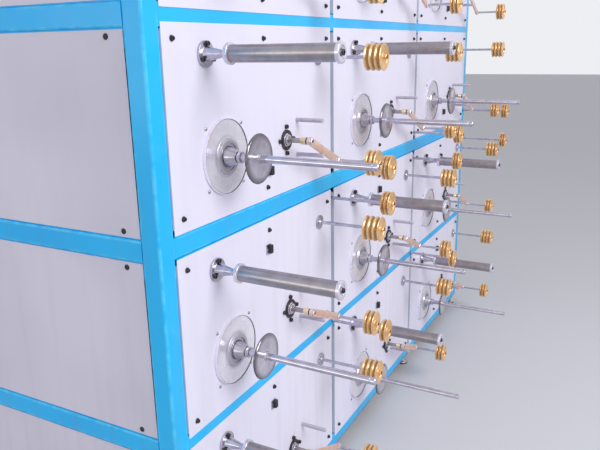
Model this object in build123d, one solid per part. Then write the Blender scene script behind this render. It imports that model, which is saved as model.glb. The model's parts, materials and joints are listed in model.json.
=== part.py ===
from build123d import *
from math import asin, atan2, cos, degrees, hypot, radians, sin
import os

# Cabinet of a multi-head wire winding stand. Millimetres, +Z up, the fronts face -Y.
# The origin is on the floor, at the middle of the whole outline.

# Frame
bays = 3
tiers = 4
bay_pitch = 825.0
frame_depth = 900.0
tube = 50.0
tube_wall = 3.0
seam_post_setback = 15.0
foot_height = 50.0
foot_radius = 25.0
foot_pad = 12.0
foot_stem_radius = 10.0
foot_nut_radius = 16.0
foot_nut_sheet = 11.0
foot_nut_drop = 4.0

# Sheet panels
sheet = 2.0
panel_height = 444.0
strip_narrow = 28.0
strip_wide = 54.0
seam_gap = 24.0
edge_gap = 1.5
return_sheet_clear = 1.0
end_panel_inset = 3.0
end_panel_gap = 3.0
fixing_bar_height = 40.0
fixing_bar_sheet = 4.0

# Places on a panel: from the bay's left post centre, and down from the panel's top edge
roller_x = 170.0
roller_down = 65.0
spindle_x = 230.0
spindle_down = 300.0
pivot_x = 525.0
pivot_down = 300.0
pulley_x = 724.0
pulley_down = 85.0
block_x = 416.0
block_down = 84.0
low_block_x = 434.0
low_block_down = 369.0

# Spindle and its bearing, distances standing out from the panel's face
shaft_radius = 9.0
shaft_tip_bevel = 1.5
shaft_reach = 387.0
shaft_tail = 62.0
running_gap = 0.05
bearing_radius = 90.0
bearing_sheet = 6.0
boss_radius = 44.0
boss_taper = 4.0
boss_reach = 13.0
boss_inner_radius = 33.0
boss_floor = 8.0
hub_radius = 26.0
hub_tip_radius = 15.0
hub_reach = 37.0
spigot_radius = 30.0
spigot_tail = 40.0
sleeve_radius = 14.0
sleeve_gap = 2.0
sleeve_length = 9.0
backing_radius = 58.5
backing_start = 90.0
backing_sheet = 7.0
backing_bevel = 2.5
backing_hub_radius = 13.0
backing_hub_sheet = 3.0
tail_collar_radius = 16.0
tail_collar_sheet = 10.0
tail_gap = 1.0
panel_hole_clear = 0.5
cut_over = 1.0

# Guide roller
roller_flange_radius = 29.0
roller_flange_sheet = 6.0
roller_cone_radius = 17.0
roller_cone_reach = 44.0
roller_neck_radius = 8.5
axle_radius = 6.5
roller_start = 62.0
roller_gap = 1.0
roller_end = 330.0
roller_radius = 19.0
roller_cap_radius = 24.0
roller_end_cap_radius = 22.0
roller_cap_sheet = 9.0
roller_cap_bevel = 2.0
axle_reach = 334.0

# Dancer arm
dancer_out = 175.0
dancer_drop = 80.0
dancer_flange_radius = 28.0
dancer_flange_sheet = 6.0
dancer_ring_radius = 21.0
dancer_ring_floor = 4.0
dancer_boss_radius = 15.0
dancer_boss_reach = 10.0
dancer_spigot_radius = 12.0
dancer_spigot_tail = 30.0
pivot_radius = 5.0
pivot_tail = 44.0
pivot_sleeve_radius = 7.0
pivot_sleeve_gap = 1.0
arm_start = 72.0
arm_sheet = 6.0
arm_width = 23.0
arm_bush_radius = 10.0
arm_bush_start = 48.0
arm_nut_radius = 9.0
arm_nut_sheet = 5.0
arm_rod_radius = 4.5
stop_orbit = 80.0
stop_radius = 6.0
stop_reach = 84.0
stop_gap = 0.3

# Pulleys
wire_plane = 190.0
guide_plane = 184.0
end_plane = 217.0
pulley_radius = 37.5
pulley_hub_radius = 12.0
pulley_rim_wall = 3.0
pulley_dish = 2.0
groove_depth = 5.0
groove_lip = 2.0
bore_gap = 0.05
side_gap = 0.3
rod_radius = 5.0
rod_end = 2.0
collar_radius = 9.0
collar_sheet = 8.0
nut_radius = 7.5
nut_sheet = 6.0
guide_pulley_width = 50.0
dancer_pulley_width = 30.0
seam_pulley_width = 26.0
rail_pulley_width = 18.0
post_flange_radius = 22.0
post_flange_sheet = 5.0
seam_pulley_offset = 56.0
end_pulley_offset = 75.0

# Sensor block
block_width = 14.0
block_height = 24.0
block_reach = 11.0
block_corner = 2.5
plate_sheet = 2.5
plate_overhang = 8.0
plate_margin = 2.0

# Worked out from the sizes above
length = bays * bay_pitch + tube
pulley_overhang = max(0.0, pulley_radius - tube / 2)
left_x = -(length + pulley_overhang) / 2
outline_depth = frame_depth + sheet + sheet + shaft_reach
front_y = -outline_depth / 2 + shaft_reach + sheet
face_y = front_y - sheet
back_y = front_y + frame_depth
lap = (tube - strip_narrow) / 2
first_panel_z = foot_height + tube - lap
drop_angle = degrees(atan2(dancer_drop, dancer_out))
arm_length = hypot(dancer_drop, dancer_out)
stop_angle = drop_angle + degrees(asin((arm_width / 2 + stop_radius + stop_gap) / stop_orbit))


def strip_above(tier):
    """Visible height of the rail over a tier: wide at mid height, narrow elsewhere."""
    return strip_wide if tier == tiers // 2 - 1 else strip_narrow


def panel_bottom(tier):
    return first_panel_z + sum(panel_height + strip_above(t) for t in range(tier))


def panel_top(tier):
    return panel_bottom(tier) + panel_height


def rail_z(level):
    """Centre height of a rail: level 0 is the bottom one."""
    if level == 0:
        return foot_height + tube / 2
    if level == tiers:
        return panel_top(tiers - 1) - lap + tube / 2
    return panel_top(level - 1) + strip_above(level - 1) / 2


def post_x(index):
    return left_x + tube / 2 + index * bay_pitch


def cells():
    """Each bay of each tier, with its left post centre and its panel's top edge."""
    for tier in range(tiers):
        for bay in range(bays):
            yield tier, bay, post_x(bay), panel_top(tier)


frame_top = rail_z(tiers) + tube / 2


def block(x0, x1, y0, y1, z0, z1):
    size = (x1 - x0, y1 - y0, z1 - z0)
    return Pos((x0 + x1) / 2, (y0 + y1) / 2, (z0 + z1) / 2) * Box(*size)


def tube_between(x0, x1, y0, y1, z0, z1, along):
    """A hollow tube that fills a box and is open at both ends of one axis."""
    wall = {axis: 0.0 if axis == along else tube_wall for axis in "xyz"}
    outer = block(x0, x1, y0, y1, z0, z1)
    inner = block(x0 + wall["x"], x1 - wall["x"], y0 + wall["y"], y1 - wall["y"],
                  z0 + wall["z"], z1 - wall["z"])
    return outer - inner


def turned(points):
    """A body of revolution about Y. Points are (radius, distance out from the panel's face)."""
    outline = Polyline(*[(radius, -out) for radius, out in points], close=True)
    return revolve(make_face(outline), Axis.Y)


def on_face(x, z, part):
    return Pos(x, face_y, z) * part


def rod(radius, start, end):
    return Pos(0, -(start + end) / 2, 0) * Rot(90, 0, 0) * Cylinder(radius, end - start)


def write(name, solids):
    """Writes like pieces of one node, each one a solid of its own."""
    solids = list(solids)
    shape = solids[0] if len(solids) == 1 else Compound(children=solids)
    export_step(shape, os.path.join("parts", name + ".step"))


def corner_posts():
    for x in (post_x(0), post_x(bays)):
        for y in (front_y, back_y - tube):
            yield tube_between(x - tube / 2, x + tube / 2, y, y + tube, foot_height, frame_top, "z")


def seam_posts():
    depth = tube - seam_post_setback
    for index in range(1, bays):
        x = post_x(index)
        for y in (front_y + seam_post_setback, back_y - tube):
            for tier in range(tiers):
                low, high = rail_z(tier) + tube / 2, rail_z(tier + 1) - tube / 2
                yield tube_between(x - tube / 2, x + tube / 2, y, y + depth, low, high, "z")


def long_rails(y):
    inner = tube / 2
    for level in range(tiers + 1):
        z = rail_z(level)
        yield tube_between(post_x(0) + inner, post_x(bays) - inner, y, y + tube, z - inner, z + inner, "x")


def cross_rails(indices):
    half = tube / 2
    for index in indices:
        for level in range(tiers + 1):
            x, z = post_x(index), rail_z(level)
            yield tube_between(x - half, x + half, front_y + tube, back_y - tube, z - half, z + half, "y")


def feet():
    top = foot_height - sheet
    nut_top = top - foot_nut_drop
    profile = [(0, 0), (foot_radius, 0), (foot_radius, foot_pad / 2), (foot_stem_radius, foot_pad),
               (foot_stem_radius, nut_top - foot_nut_sheet), (foot_nut_radius, nut_top - foot_nut_sheet),
               (foot_nut_radius, nut_top), (foot_stem_radius, nut_top), (foot_stem_radius, top), (0, top)]
    foot = revolve(make_face(Plane.XZ * Polyline(*profile, close=True)), Axis.Z)
    for index in range(bays + 1):
        for y in (front_y + tube / 2, back_y - tube / 2):
            yield Pos(post_x(index), y, 0) * foot


def panel_span(bay):
    """Left and right edges of a panel: short of the end posts, and halfway over the seams."""
    end_edge = tube / 2 + edge_gap
    left = post_x(bay) + (end_edge if bay == 0 else seam_gap / 2)
    right = post_x(bay + 1) - (end_edge if bay == bays - 1 else seam_gap / 2)
    return left, right


def tray(bay, tier, outer, inward):
    """A sheet panel with its two sides folded back, its face at y = outer."""
    left, right = panel_span(bay)
    skin_back = outer + inward * sheet
    fold_back = outer + inward * (sheet + seam_post_setback)
    low = max(rail_z(tier) + tube / 2 + return_sheet_clear, panel_bottom(tier) + sheet)
    high = min(rail_z(tier + 1) - tube / 2 - return_sheet_clear, panel_top(tier) - sheet)
    skin_y = sorted((outer, skin_back))
    fold_y = sorted((skin_back, fold_back))
    panel = block(left, right, *skin_y, panel_bottom(tier), panel_top(tier))
    panel += block(left, left + sheet, *fold_y, low, high)
    panel += block(right - sheet, right, *fold_y, low, high)
    return panel


def front_panel(bay, tier):
    x, top = post_x(bay), panel_top(tier)
    panel = tray(bay, tier, face_y, 1)
    holes = [(spindle_x, spindle_down, spigot_radius), (pivot_x, pivot_down, dancer_spigot_radius)]
    for across, down, radius in holes:
        cutter = rod(radius + panel_hole_clear, -sheet - cut_over, cut_over)
        panel -= on_face(x + across, top - down, cutter)
    return panel


def fixing_bars():
    """Flat bars behind the panels' top and bottom edges, welded along the rails."""
    for y in (front_y, back_y - fixing_bar_sheet):
        for tier in range(tiers):
            for bay in range(bays):
                left, right = panel_span(bay)
                ends = (left + sheet + return_sheet_clear, right - sheet - return_sheet_clear)
                low, high = rail_z(tier) + tube / 2, rail_z(tier + 1) - tube / 2
                yield block(*ends, y, y + fixing_bar_sheet, low, low + fixing_bar_height)
                yield block(*ends, y, y + fixing_bar_sheet, high - fixing_bar_height, high)


def end_panels(x_face, inward):
    """Inset sheets between the corner posts, each on two flat bars welded under the rails."""
    x0 = x_face + inward * end_panel_inset
    x1 = x0 + inward * sheet
    x2 = x1 + inward * fixing_bar_sheet
    y0, y1 = front_y + tube, back_y - tube
    for tier in range(tiers):
        low, high = rail_z(tier) + tube / 2, rail_z(tier + 1) - tube / 2
        panel = block(*sorted((x0, x1)), y0 + end_panel_gap, y1 - end_panel_gap,
                      low + end_panel_gap, high - end_panel_gap)
        panel += block(*sorted((x1, x2)), y0, y1, low, low + fixing_bar_height)
        panel += block(*sorted((x1, x2)), y0, y1, high - fixing_bar_height, high)
        yield panel


def bearing():
    """Flange, raised ring and a hub that tapers to its tip, all round one bore."""
    bore = shaft_radius + running_gap
    return turned([(bore, -spigot_tail), (spigot_radius, -spigot_tail), (spigot_radius, 0),
                   (bearing_radius, 0), (bearing_radius, bearing_sheet), (boss_radius, bearing_sheet),
                   (boss_radius - boss_taper, boss_reach), (boss_inner_radius, boss_reach),
                   (boss_inner_radius, boss_floor), (hub_radius, boss_floor),
                   (hub_tip_radius, hub_reach), (bore, hub_reach)])


def spindle():
    """Shaft with its tail collar, the sleeve in front of the hub and the backing disc."""
    collar_end = -spigot_tail - tail_gap
    sleeve_start = hub_reach + sleeve_gap
    sleeve_end = sleeve_start + sleeve_length
    collar_start = collar_end - tail_collar_sheet
    face = backing_start + backing_sheet
    hub_face = face + backing_hub_sheet
    rim = backing_radius - backing_bevel
    tip_start = shaft_reach - shaft_tip_bevel
    return turned([(0, -shaft_tail), (shaft_radius, -shaft_tail), (shaft_radius, collar_start),
                   (tail_collar_radius, collar_start), (tail_collar_radius, collar_end),
                   (shaft_radius, collar_end), (shaft_radius, sleeve_start), (sleeve_radius, sleeve_start),
                   (sleeve_radius, sleeve_end), (shaft_radius, sleeve_end), (shaft_radius, backing_start),
                   (rim, backing_start), (backing_radius, backing_start + backing_bevel),
                   (backing_radius, face - backing_bevel), (rim, face), (backing_hub_radius, face),
                   (backing_hub_radius, hub_face), (shaft_radius, hub_face), (shaft_radius, tip_start),
                   (shaft_radius - shaft_tip_bevel, shaft_reach), (0, shaft_reach)])


def roller_axle():
    """Round flange, a cone down to the neck and the axle in the roller's bore."""
    neck_end = roller_start - roller_gap
    return turned([(0, 0), (roller_flange_radius, 0), (roller_flange_radius, roller_flange_sheet),
                   (roller_cone_radius, roller_flange_sheet), (roller_neck_radius, roller_cone_reach),
                   (roller_neck_radius, neck_end), (axle_radius, neck_end), (axle_radius, axle_reach),
                   (0, axle_reach)])


def roller():
    """Tube with a wide cap at the panel's side and a smaller one at its free end."""
    bore = axle_radius + bore_gap
    return turned([(bore, roller_start), (roller_cap_radius - roller_cap_bevel, roller_start),
                   (roller_cap_radius, roller_start + roller_cap_bevel),
                   (roller_cap_radius, roller_start + roller_cap_sheet),
                   (roller_radius, roller_start + roller_cap_sheet),
                   (roller_radius, roller_end - roller_cap_sheet),
                   (roller_end_cap_radius, roller_end - roller_cap_sheet),
                   (roller_end_cap_radius, roller_end - roller_cap_bevel),
                   (roller_end_cap_radius - roller_cap_bevel, roller_end), (bore, roller_end)])


def pulley(width, grooves, bore, plane):
    """A grooved pulley on a wire plane, dished round its hub on both faces."""
    pitch = (width - groove_lip) / grooves
    start, end = plane - width / 2, plane + width / 2
    rim = pulley_radius - groove_depth - pulley_rim_wall
    points = [(bore, start), (pulley_hub_radius, start), (pulley_hub_radius, start + pulley_dish),
              (rim, start + pulley_dish), (rim, start), (pulley_radius, start)]
    for index in range(grooves):
        lip = start + groove_lip + index * pitch
        points += [(pulley_radius, lip), (pulley_radius - groove_depth, lip + (pitch - groove_lip) / 2),
                   (pulley_radius, lip + pitch - groove_lip)]
    points += [(pulley_radius, end), (rim, end), (rim, end - pulley_dish),
               (pulley_hub_radius, end - pulley_dish), (pulley_hub_radius, end), (bore, end)]
    return turned(points)


def rod_head(radius, plane, width):
    """Outline of a rod from the set collar behind its pulley to the nut in front of it."""
    back, front = plane - width / 2 - side_gap, plane + width / 2 + side_gap
    tip = front + nut_sheet + rod_end
    return [(radius, back - collar_sheet), (collar_radius, back - collar_sheet), (collar_radius, back),
            (radius, back), (radius, front), (nut_radius, front), (nut_radius, front + nut_sheet),
            (radius, front + nut_sheet), (radius, tip), (0, tip)]


def pulley_post():
    flange = [(0, 0), (post_flange_radius, 0), (post_flange_radius, post_flange_sheet),
              (rod_radius, post_flange_sheet)]
    return turned(flange + rod_head(rod_radius, guide_plane, guide_pulley_width))


def dancer_bracket():
    """Ring flange with a sunk face and a low boss round the pivot's bore."""
    bore = pivot_radius + running_gap
    return turned([(bore, -dancer_spigot_tail), (dancer_spigot_radius, -dancer_spigot_tail),
                   (dancer_spigot_radius, 0), (dancer_flange_radius, 0),
                   (dancer_flange_radius, dancer_flange_sheet), (dancer_ring_radius, dancer_flange_sheet),
                   (dancer_ring_radius, dancer_ring_floor), (dancer_boss_radius, dancer_ring_floor),
                   (dancer_boss_radius, dancer_boss_reach), (bore, dancer_boss_reach)])


def dancer():
    """Pivot, bush, flat arm, nuts and pulley rod in one piece, and the pulley on the rod."""
    arm_end = arm_start + arm_sheet
    sleeve_start = dancer_boss_reach + pivot_sleeve_gap
    pivot = turned([(0, -pivot_tail), (pivot_radius, -pivot_tail), (pivot_radius, sleeve_start),
                    (pivot_sleeve_radius, sleeve_start), (pivot_sleeve_radius, arm_bush_start),
                    (arm_bush_radius, arm_bush_start), (arm_bush_radius, arm_end),
                    (arm_nut_radius, arm_end), (arm_nut_radius, arm_end + arm_nut_sheet),
                    (0, arm_end + arm_nut_sheet)])
    arm_plate = extrude(Plane.XZ * SlotCenterToCenter(arm_length, arm_width), arm_sheet)
    arm_plate = Rot(0, drop_angle, 0) * (Pos(arm_length / 2, -arm_start, 0) * arm_plate)
    nuts = [(0, arm_start - arm_nut_sheet), (arm_nut_radius, arm_start - arm_nut_sheet),
            (arm_nut_radius, arm_end + arm_nut_sheet), (arm_rod_radius, arm_end + arm_nut_sheet)]
    tip = Pos(dancer_out, 0, -dancer_drop)
    tip_rod = turned(nuts + rod_head(arm_rod_radius, wire_plane, dancer_pulley_width))
    tip_pulley = pulley(dancer_pulley_width, 2, arm_rod_radius + bore_gap, wire_plane)
    return [pivot + arm_plate + tip * tip_rod, tip * tip_pulley]


def stops():
    for sign in (1, -1):
        angle = radians(stop_angle)
        place = Pos(stop_orbit * cos(angle), 0, sign * stop_orbit * sin(angle))
        yield place * rod(stop_radius, 0, stop_reach)


def seam_pulley_places():
    """Post, height, back end of the rod, wire plane, width and grooves of each post's pulley."""
    middle, lower = rail_z(tiers // 2), rail_z(tiers // 2 - 1)
    for index in range(1, bays + 1):
        last = index == bays
        back = sheet if last else sheet + seam_post_setback
        offset, plane = (end_pulley_offset, end_plane) if last else (seam_pulley_offset, wire_plane)
        for side in (1, -1):
            yield post_x(index), middle + side * offset, back, plane, seam_pulley_width, 2
    for index in range(1, bays):
        yield post_x(index), lower, sheet, wire_plane, rail_pulley_width, 1


def seam_rod(back, plane, width):
    root = [(0, -back), (collar_radius, -back), (collar_radius, collar_sheet - back),
            (rod_radius, collar_sheet - back)]
    return turned(root + rod_head(rod_radius, plane, width))


def sensor_block():
    """A rounded block on a thin plate that shows at its left."""
    plate = RectangleRounded(block_width + plate_overhang, block_height + 2 * plate_margin, block_corner)
    plate = Pos(-plate_overhang / 2, 0, 0) * extrude(Plane.XZ * plate, plate_sheet)
    return plate + extrude(Plane.XZ * RectangleRounded(block_width, block_height, block_corner), block_reach)


def in_cells(part, across, down, wanted=lambda tier, bay: True):
    """The same piece at one place in every cell that wants it."""
    places = [(x + across, top - down) for tier, bay, x, top in cells() if wanted(tier, bay)]
    return [on_face(x, z, part) for x, z in places]


def has_roller(tier, bay):
    """The last cell of the first tier above the wide strip has none."""
    return (tier, bay) != (tiers // 2, bays - 1)


def has_low_block(tier, bay):
    """Above the wide strip the blocks sit low on the panels, and under it they sit high."""
    return tier >= tiers // 2


def has_high_block(tier, bay):
    return not has_low_block(tier, bay)


def main():
    os.makedirs("parts", exist_ok=True)
    write("corner_posts", corner_posts())
    write("seam_posts", seam_posts())
    write("front_rails", long_rails(front_y))
    write("back_rails", long_rails(back_y - tube))
    write("end_rails", cross_rails((0, bays)))
    write("cross_rails", cross_rails(range(1, bays)))
    write("fixing_bars", fixing_bars())
    write("levelling_feet", feet())
    right_x = post_x(bays) + tube / 2
    write("top_panel", [block(left_x, right_x, front_y, back_y, frame_top, frame_top + sheet)])
    write("base_panel", [block(left_x, right_x, front_y, back_y, foot_height - sheet, foot_height)])
    write("left_end_panels", end_panels(left_x, 1))
    write("right_end_panels", end_panels(right_x, -1))
    write("back_panels", [tray(bay, tier, back_y + sheet, -1) for tier, bay, _, _ in cells()])
    for tier in range(tiers):
        write(f"front_panels_tier_{tier + 1}", [front_panel(bay, tier) for bay in range(bays)])
    write("spindle_bearings", in_cells(bearing(), spindle_x, spindle_down))
    write("roller_axles", in_cells(roller_axle(), roller_x, roller_down, has_roller))
    write("guide_rollers", in_cells(roller(), roller_x, roller_down, has_roller))
    write("pulley_posts", in_cells(pulley_post(), pulley_x, pulley_down))
    guide_pulley = pulley(guide_pulley_width, 3, rod_radius + bore_gap, guide_plane)
    write("guide_pulleys", in_cells(guide_pulley, pulley_x, pulley_down))
    write("dancer_brackets", in_cells(dancer_bracket(), pivot_x, pivot_down))
    write("dancer_stops", [pin for stop in stops() for pin in in_cells(stop, pivot_x, pivot_down)])
    high = in_cells(sensor_block(), block_x, block_down, has_high_block)
    write("sensor_blocks", high + in_cells(sensor_block(), low_block_x, low_block_down, has_low_block))
    rods, pulleys = [], []
    for x, z, back, plane, width, grooves in seam_pulley_places():
        rods.append(on_face(x, z, seam_rod(back, plane, width)))
        pulleys.append(on_face(x, z, pulley(width, grooves, rod_radius + bore_gap, plane)))
    write("seam_pulley_rods", rods)
    write("seam_pulleys", pulleys)
    for tier, bay, x, top in cells():
        where = f"tier_{tier + 1}_bay_{bay + 1}"
        write("spindle_" + where, [on_face(x + spindle_x, top - spindle_down, spindle())])
        write("dancer_" + where, [on_face(x + pivot_x, top - pivot_down, piece) for piece in dancer()])


main()
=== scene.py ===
"""Looks of a multi-head wire winding cabinet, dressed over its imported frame.

A blue tube frame closed with off-white sheet panels carries four tiers of three winding
cells on its long front, which faces -Y. Lengths are metres, +Z is up, and a distance "out"
is measured from the front panels' face towards -Y.
"""

import json
import logging
from dataclasses import dataclass, replace
from enum import Enum
from typing import Sequence

import bpy
import numpy as np
from mathutils import Matrix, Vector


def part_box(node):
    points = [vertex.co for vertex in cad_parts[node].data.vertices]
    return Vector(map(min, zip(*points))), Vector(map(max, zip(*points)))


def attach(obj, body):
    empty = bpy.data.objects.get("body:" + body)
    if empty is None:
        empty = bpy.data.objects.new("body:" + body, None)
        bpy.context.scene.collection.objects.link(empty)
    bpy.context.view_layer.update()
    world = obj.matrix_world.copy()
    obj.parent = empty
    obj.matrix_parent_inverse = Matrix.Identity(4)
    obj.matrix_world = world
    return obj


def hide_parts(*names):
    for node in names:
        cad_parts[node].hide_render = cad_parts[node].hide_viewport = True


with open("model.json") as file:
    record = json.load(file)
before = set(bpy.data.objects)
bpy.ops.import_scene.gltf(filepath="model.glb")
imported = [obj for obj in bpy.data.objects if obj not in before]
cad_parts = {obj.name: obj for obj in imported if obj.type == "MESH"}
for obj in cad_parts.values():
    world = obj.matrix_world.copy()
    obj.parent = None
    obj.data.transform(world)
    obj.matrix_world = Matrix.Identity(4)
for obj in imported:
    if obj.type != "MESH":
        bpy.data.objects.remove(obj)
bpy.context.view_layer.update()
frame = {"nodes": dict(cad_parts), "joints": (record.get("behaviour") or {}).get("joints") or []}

MM = 0.001
CABINET = "cabinet"
LOG = logging.getLogger("winding_cabinet")

# Corners of a CAD mesh that lie nearer to each other than this are one corner
SAME_CORNER = 1e-5

Array = np.ndarray
Socket = bpy.types.NodeSocket
Colour = tuple[float, float, float]

# Sockets of a Mix node that blends colours
MIX_SHARE, MIX_FIRST, MIX_LAST, MIX_RESULT = 0, 6, 7, 2


def linear(colour: Colour) -> tuple[float, float, float, float]:
    """Turns a display colour into the linear colour that shaders take.

    Args:
        colour: red, green and blue as displayed, 0 to 255.

    Returns:
        Linear red, green and blue with full cover.
    """
    shown = np.array(colour) / 255.0
    value = np.where(shown <= 0.04045, shown / 12.92, ((shown + 0.055) / 1.055) ** 2.4)
    return (float(value[0]), float(value[1]), float(value[2]), 1.0)


# Finishes


class Bench:
    """Adds and joins the nodes of one material."""

    def __init__(self, name: str) -> None:
        """Starts a material with its plain surface shader.

        Args:
            name: the material's name.
        """
        self.material = bpy.data.materials.new(name)
        self.material.use_nodes = True
        self.tree = self.material.node_tree
        self.shader = self.tree.nodes["Principled BSDF"]
        self.place = self.tree.nodes.new("ShaderNodeTexCoord").outputs["Object"]

    def join(self, source: Socket, target: Socket) -> None:
        """Links one socket to another."""
        self.tree.links.new(source, target)

    def add(self, kind: str, **values: object) -> bpy.types.Node:
        """Adds a node and sets its inputs by name.

        Args:
            kind: the node's type.
            values: input names, with _ for a blank, and their constant values.

        Returns:
            The new node.
        """
        node = self.tree.nodes.new(kind)
        for name, value in values.items():
            node.inputs[name.replace("_", " ")].default_value = value
        return node

    def noise(self, scale: float, detail: float = 3.0, stretch: Sequence[float] = (1, 1, 1),
              source: Socket | None = None) -> Socket:
        """A cloudy pattern.

        Args:
            scale: lumps per metre.
            detail: octaves of finer lumps.
            stretch: scale along each axis before the pattern is read.
            source: coordinates, the object's own place where none are given.

        Returns:
            The pattern's value, about 0.3 to 0.7.
        """
        mapping = self.add("ShaderNodeMapping", Scale=tuple(stretch))
        self.join(source or self.place, mapping.inputs["Vector"])
        node = self.add("ShaderNodeTexNoise", Scale=scale, Detail=detail)
        self.join(mapping.outputs["Vector"], node.inputs["Vector"])
        return node.outputs["Fac"]

    def spread(self, value: Socket, low: float, high: float,
               first: float = 0.0, last: float = 1.0) -> Socket:
        """Maps low..high of a value to first..last and stops at both ends.

        Args:
            value: what is mapped.
            low: the value that gives first.
            high: the value that gives last.
            first: the result up to low.
            last: the result from high on.

        Returns:
            The mapped value.
        """
        node = self.add("ShaderNodeMapRange", From_Min=low, From_Max=high, To_Min=first, To_Max=last)
        self.join(value, node.inputs["Value"])
        return node.outputs["Result"]

    def times(self, one: Socket, other: Socket | float) -> Socket:
        """Multiplies one value by another.

        Args:
            one: a socket.
            other: another socket or a number.

        Returns:
            Their product.
        """
        node = self.tree.nodes.new("ShaderNodeMath")
        node.operation = "MULTIPLY"
        self.join(one, node.inputs[0])
        if isinstance(other, (int, float)):
            node.inputs[1].default_value = other
        else:
            self.join(other, node.inputs[1])
        return node.outputs[0]

    def blend(self, share: Socket, first: Socket | Colour, last: Colour) -> Socket:
        """A colour between two others.

        Args:
            share: 0 for the first colour, 1 for the last.
            first: a colour or a colour socket.
            last: a display colour.

        Returns:
            The blended colour.
        """
        node = self.tree.nodes.new("ShaderNodeMix")
        node.data_type = "RGBA"
        self.join(share, node.inputs[MIX_SHARE])
        if isinstance(first, tuple):
            node.inputs[MIX_FIRST].default_value = linear(first)
        else:
            self.join(first, node.inputs[MIX_FIRST])
        node.inputs[MIX_LAST].default_value = linear(last)
        return node.outputs[MIX_RESULT]

    def bump(self, height: Socket, depth: float, strength: float, under: Socket | None = None) -> Socket:
        """Small relief on the surface.

        Args:
            height: the pattern that rises and falls.
            depth: how far it stands out, in metres.
            strength: how much of it is used.
            under: relief that this one is laid on.

        Returns:
            The surface direction.
        """
        node = self.add("ShaderNodeBump", Strength=strength, Distance=depth)
        self.join(height, node.inputs["Height"])
        if under is not None:
            self.join(under, node.inputs["Normal"])
        return node.outputs["Normal"]

    def marks(self) -> tuple[Socket, Socket]:
        """Reads the piece's own marks.

        Returns:
            All three marks as a vector, and the middle one by itself.
        """
        node = self.tree.nodes.new("ShaderNodeAttribute")
        node.attribute_name = "marks"
        parts = self.tree.nodes.new("ShaderNodeSeparateXYZ")
        self.join(node.outputs["Vector"], parts.inputs[0])
        return node.outputs["Vector"], parts.outputs["Y"]

    def height(self) -> Socket:
        """Reads the height above the floor.

        Returns:
            The height in metres.
        """
        parts = self.tree.nodes.new("ShaderNodeSeparateXYZ")
        self.join(self.place, parts.inputs[0])
        return parts.outputs["Z"]

    def done(self, colour: Socket, roughness: Socket, normal: Socket) -> bpy.types.Material:
        """Joins what was built to the surface shader.

        Args:
            colour: the surface's colour.
            roughness: its roughness.
            normal: its direction.

        Returns:
            The finished material.
        """
        for source, name in ((colour, "Base Color"), (roughness, "Roughness"), (normal, "Normal")):
            self.join(source, self.shader.inputs[name])
        return self.material


@dataclass(frozen=True)
class Paint:
    """Sprayed or powder-coated steel, with dust that gathers low down and lighter edges: worn paint with a
    painted highlight along them.

    Attributes:
        colour: the fresh paint.
        shade: the paint where it is thinner or faded.
        edge: the paint on an edge, worn and with a painted highlight.
        dirt: dust and hand marks.
        roughness: least and greatest roughness.
        peel: strength of the spray's fine relief.
        wave: strength of the sheet's slow bulges.
        dust: share of dust near the floor.
        specks: share of small dark specks.
        coat: weight of the clear gloss over the paint.
    """

    colour: Colour
    shade: Colour
    edge: Colour
    dirt: Colour
    roughness: tuple[float, float] = (0.3, 0.45)
    peel: float = 0.12
    wave: float = 0.0
    dust: float = 0.35
    specks: float = 0.3
    coat: float = 0.0

    def build(self, name: str) -> bpy.types.Material:
        """Makes the material: faded patches, then lighter edges of wear and painted highlight, then dust,
        over fine relief.

        Args:
            name: the material's name.

        Returns:
            The material.
        """
        bench = Bench(name)
        faded = bench.spread(bench.noise(scale=1.8, detail=2.0), 0.38, 0.66)
        colour = bench.blend(faded, self.colour, self.shade)
        _, rim = bench.marks()
        # Lighter edges: partly worn paint, partly a painted highlight along each edge.
        edge_breakup = bench.spread(bench.noise(scale=34.0, detail=4.0), 0.36, 0.62)
        edge_wear_and_highlight = bench.times(bench.times(rim, edge_breakup), 0.7)
        colour = bench.blend(edge_wear_and_highlight, colour, self.edge)
        runs = bench.spread(bench.noise(scale=1.0, detail=6.0, stretch=(26.0, 26.0, 2.2)), 0.5, 0.74)
        low = bench.spread(bench.height(), 0.0, 1.5, self.dust, self.dust * 0.12)
        colour = bench.blend(bench.times(runs, low), colour, self.dirt)
        specks = bench.spread(bench.noise(scale=210.0, detail=2.0), 0.68, 0.74, 0.0, self.specks)
        colour = bench.blend(specks, colour, self.dirt)
        gloss = bench.spread(bench.noise(scale=9.0, detail=5.0), 0.35, 0.65, *self.roughness)
        relief = None
        if self.wave:
            relief = bench.bump(bench.noise(scale=3.1, detail=1.0), 6.0 * MM, self.wave)
        relief = bench.bump(bench.noise(scale=620.0, detail=2.0), 0.25 * MM, self.peel, relief)
        bench.shader.inputs["Coat Weight"].default_value = self.coat
        bench.shader.inputs["Coat Roughness"].default_value = 0.12
        return bench.done(colour, gloss, relief)


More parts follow.
